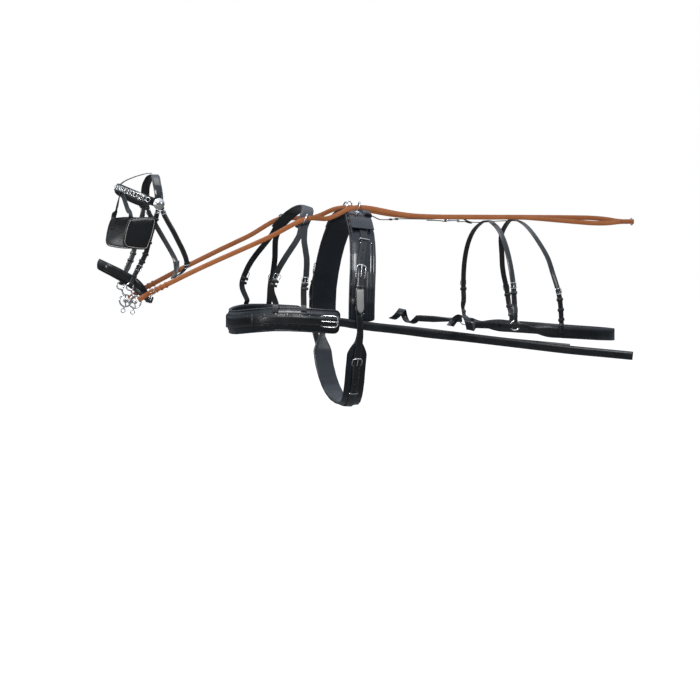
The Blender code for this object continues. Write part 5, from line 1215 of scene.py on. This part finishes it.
# Winker stay, throatlatch and noseband. The stay ties both winkers up to the crownpiece, the throatlatch
# keeps the bridle from slipping off, and the noseband is a band of leather over padding.
STAY_EDGE = 0.0008
NOSE_SECTION_SHARES = whole_section(
    top=((-1.0, 0.40, 1.0), (-0.96, 0.62, 0.8), (-0.84, 0.72, 0.2), (-0.76, 0.66, 0.0),
         (-0.66, 0.80, 0.1), (-0.35, 0.98, 0.2), (0.0, 1.0, 0.2)),
    under=((-0.94, 0.08, 0.5), (-0.80, 0.0, 0.1)))
softened("winker_stay", STAY_EDGE)
throat_run = strap("throatlatch", THIN_THICK)
nose_run = measured("noseband", STRAP_STEP)
noseband = stuffed("noseband", "noseband_leather", nose_run, NOSE_SECTION_SHARES, BLACK)

# Bridle buckles and keepers. Each cheekpiece is buckled above the winker and above the bit, the throatlatch
# at its top and its end, and the noseband beside the cheekpiece. Keepers hold the loose ends.
CHEEK_KEEPER_LONG = 0.009
CHEEK_KEEPERS_AT = ((153.5, 219), (151, 226), (148.2, 243), (144.8, 254), (141.2, 262), (134.6, 276))
NOSE_THICK = 0.008
# Name, strap, where it shows, length, how far past it its keepers lie, the strap's thickness and its rise.
BRIDLE_BUCKLES = (
    ("cheek_buckle", cheek_runs["near"], (138, 268.5), 0.024, (), CHEEK_THICK, 0.0),
    ("cheek_top_buckle", cheek_runs["near"], (155.8, 212), 0.016, (), CHEEK_THICK, 0.0),
    ("throat_top_buckle", throat_run, (163.5, 212.5), 0.016, (0.018, 0.030), THIN_THICK, 0.0),
    ("throat_end_buckle", throat_run, (184.5, 266), 0.018, (0.016,), THIN_THICK, 0.0),
    ("nose_buckle", nose_run, (147.5, 298), 0.018, (-0.022,), NOSE_THICK, 0.003))
keeper_pairs("cheek_keeper", [both(station_at(cheek_runs["near"], pixel)) for pixel in CHEEK_KEEPERS_AT],
             CHEEK_THICK, CHEEK_KEEPER_LONG)
for name, run, pixel, long, keepers, thick, rise in BRIDLE_BUCKLES:
    for side, place in both(station_at(run, pixel)):
        small_buckle(f"{name}_{side}", place, long, keepers, thick, rise)

# Bit. Two cast cheeks hang in the cheekpieces' folds by their upper rings, with the reins in their large
# ones. The mouthpiece is a plain bar that turns in their hubs.
for side in SIDES:
    cast(f"bit_cheek_{side}")
cast("mouthpiece", "bit_bar")

# Reins. One ply of russet leather, with a sewn and buckled billet at the bit. The two are buckled together
# at the hand end.
RUSSET = leather("russet rein leather", deep=(0.30, 0.085, 0.022), tone=(0.50, 0.17, 0.050),
                 edge=(0.16, 0.045, 0.015), rough=0.42, coat=0.15, coat_rough=0.30, specular=0.40)
TAN_THREAD = thread("tan waxed thread", tint=(0.36, 0.17, 0.07), light=(0.55, 0.32, 0.16))
REIN_THICK = 0.0035
REIN_STEP = 0.012
REIN_STITCH_IN = 0.003
REIN_SEWN_SHARES = ((0.0, 0.08), (0.93, 1.0))
REIN_BUCKLE_AT = (151, 289.5)
REIN_BUCKLE_LONG = 0.022
REIN_KEEPERS_AT = ((156, 287.5), (160, 285.4), (164.5, 283.3))
REIN_KEEPER_LONG = 0.008
rein_runs = {}
for side in SIDES:
    run = strap(f"rein_{side}", REIN_THICK, RUSSET, REIN_STEP, sewn_rows=False)
    sewn(f"rein_{side}_stitching", run, (REIN_STITCH_IN, -REIN_STITCH_IN), 0.0, TAN_THREAD,
         REIN_SEWN_SHARES)
    rein_runs[side] = run
cast("rein_buckle")
for side, place in both(station_at(rein_runs["near"], REIN_BUCKLE_AT)):
    small_buckle(f"rein_billet_buckle_{side}", place, REIN_BUCKLE_LONG)
keeper_pairs("rein_keeper", [both(station_at(rein_runs["near"], pixel)) for pixel in REIN_KEEPERS_AT],
             REIN_THICK, REIN_KEEPER_LONG, RUSSET)

# Back strap and croup strap. The back strap runs from the saddle to a sprung snap, and the croup strap is
# folded round the snap's hook.
BACK_THICK = 0.0035
CROUP_EDGE = 0.0007
BACK_KEEPERS_AT = ((391.5, 219), (396.5, 219))
BACK_KEEPER_LONG = 0.008
back_run = strap("back_strap", BACK_THICK)
cast("back_snap")
cast("snap_gate", "gate")
softened("croup_strap", CROUP_EDGE)
for number, pixel in enumerate(BACK_KEEPERS_AT):
    keeper(f"back_strap_keeper_{number}", station_at(back_run, pixel), BACK_THICK, long=BACK_KEEPER_LONG)

# Hip straps. Two straps over the rear carry the breeching, each with a buckle on either side and three
# keepers below it for the loose end.
HIP_BUCKLE_LONG = 0.023
HIP_KEEPER_LONG = 0.012
HIP_FITTINGS_AT = (
    ("front", (513, 285), ((513.5, 293), (514, 306), (514.5, 317))),
    ("rear", (558.6, 292), ((559.5, 300), (560.5, 310), (561, 320))))
hip_runs = {place: strap(f"hip_strap_{place}", BACK_THICK) for place in ("front", "rear")}
for place, buckle_at, keepers_at in HIP_FITTINGS_AT:
    for side, station in on_both_sides(hip_runs[place], buckle_at):
        small_buckle(f"hip_{place}_buckle_{side}", station, HIP_BUCKLE_LONG)
    keeper_pairs(f"hip_{place}_keeper", [on_both_sides(hip_runs[place], pixel) for pixel in keepers_at],
                 BACK_THICK, HIP_KEEPER_LONG)

# Breeching. The broad strap round the rear takes the load when the harness holds back, through a ring at
# each end and a narrow strap that is wound in a coil.
BREECHING_THICK = 0.005
COIL_EDGE = 0.0009
COIL_EDGE_TURN = math.radians(62)
strap("breeching", BREECHING_THICK)
for side in SIDES:
    cast(f"breeching_ring_{side}", f"{side}_breeching_ring")
    softened(f"breeching_strap_{side}", COIL_EDGE, turn=COIL_EDGE_TURN, flat=False)

# Studio. A pale floor well below the harness, soft lights before it and above, and a surround that the
# camera sees as white, while the leather takes a plain gradient from it.
FLOOR_HEIGHT = -1.42
FLOOR_HALF = 30.0
FLOOR_CORNERS = ((-1, -1), (1, -1), (1, 1), (-1, 1))
FLOOR_TONE = 0.16
FLOOR_GLOW = 0.97
WHITE = (1, 1, 1, 1)
NO_LIGHT = (0, 0, 0, 1)
SKY = (0.78, 0.87, 1.0, 1)
AIM = Vector((0, 0, -0.3))
# Place, size and power.
LIGHTS = (
    ("key light", (-2.4, -4.8, 4.2), 2.4, 300),
    ("fill light", (3.8, -5.5, 1.6), 1.6, 40),
    ("front light", (-5.5, -3.0, 0.6), 1.2, 60),
    ("top light", (0.3, 1.5, 4.6), 2.2, 30))
mesh = bpy.data.meshes.new("floor")
mesh.from_pydata([(across * FLOOR_HALF, deep * FLOOR_HALF, FLOOR_HEIGHT) for across, deep in FLOOR_CORNERS],
                 [], [(0, 1, 2, 3)])
floor = added("floor", mesh)
paper, nodes, links, shader = begun("pale floor")
fitted(shader, Base_Color=(FLOOR_TONE, FLOOR_TONE, FLOOR_TONE, 1), Roughness=0.9, Specular_IOR_Level=0.0)
glow = noded(nodes, "Emission", Strength=FLOOR_GLOW)
dark = noded(nodes, "BsdfTransparent", Color=NO_LIGHT)
to_camera = noded(nodes, "LightPath")
shown = noded(nodes, "MixShader")
summed = noded(nodes, "AddShader")
linked(links,
       (to_camera, "Is Camera Ray", shown, "Fac"),
       (dark, "BSDF", shown, 1),
       (glow, "Emission", shown, 2),
       (shown, "Shader", summed, 0),
       (shader, "BSDF", summed, 1),
       (summed, "Shader", nodes["Material Output"], "Surface"))
floor.data.materials.append(paper)

world = bpy.data.worlds.new("surround")
bpy.context.scene.world = world
world.use_nodes = True
nodes, links = world.node_tree.nodes, world.node_tree.links
surround = fitted(nodes["Background"], Color=SKY)
way_up = noded(nodes, "TexCoord")
height_up = noded(nodes, "SeparateXYZ")
brighter = noded(nodes, "MapRange", From_Min=0.02, From_Max=0.8, To_Min=0.04, To_Max=1.0)
white = noded(nodes, "Background", Color=WHITE, Strength=1.0)
seen = noded(nodes, "LightPath")
either = noded(nodes, "MixShader")
linked(links,
       (way_up, "Generated", height_up, "Vector"),
       (height_up, "Z", brighter, "Value"),
       (brighter, "Result", surround, "Strength"),
       (seen, "Is Camera Ray", either, "Fac"),
       (surround, "Background", either, 1),
       (white, "Background", either, 2),
       (either, "Shader", nodes["World Output"], "Surface"))
for name, place, size, power in LIGHTS:
    lamp = bpy.data.lights.new(name, "AREA")
    lamp.energy = power
    lamp.size = size
    aimed(added(name, lamp), Vector(place), AIM)
bpy.context.scene.view_settings.view_transform = "Standard"
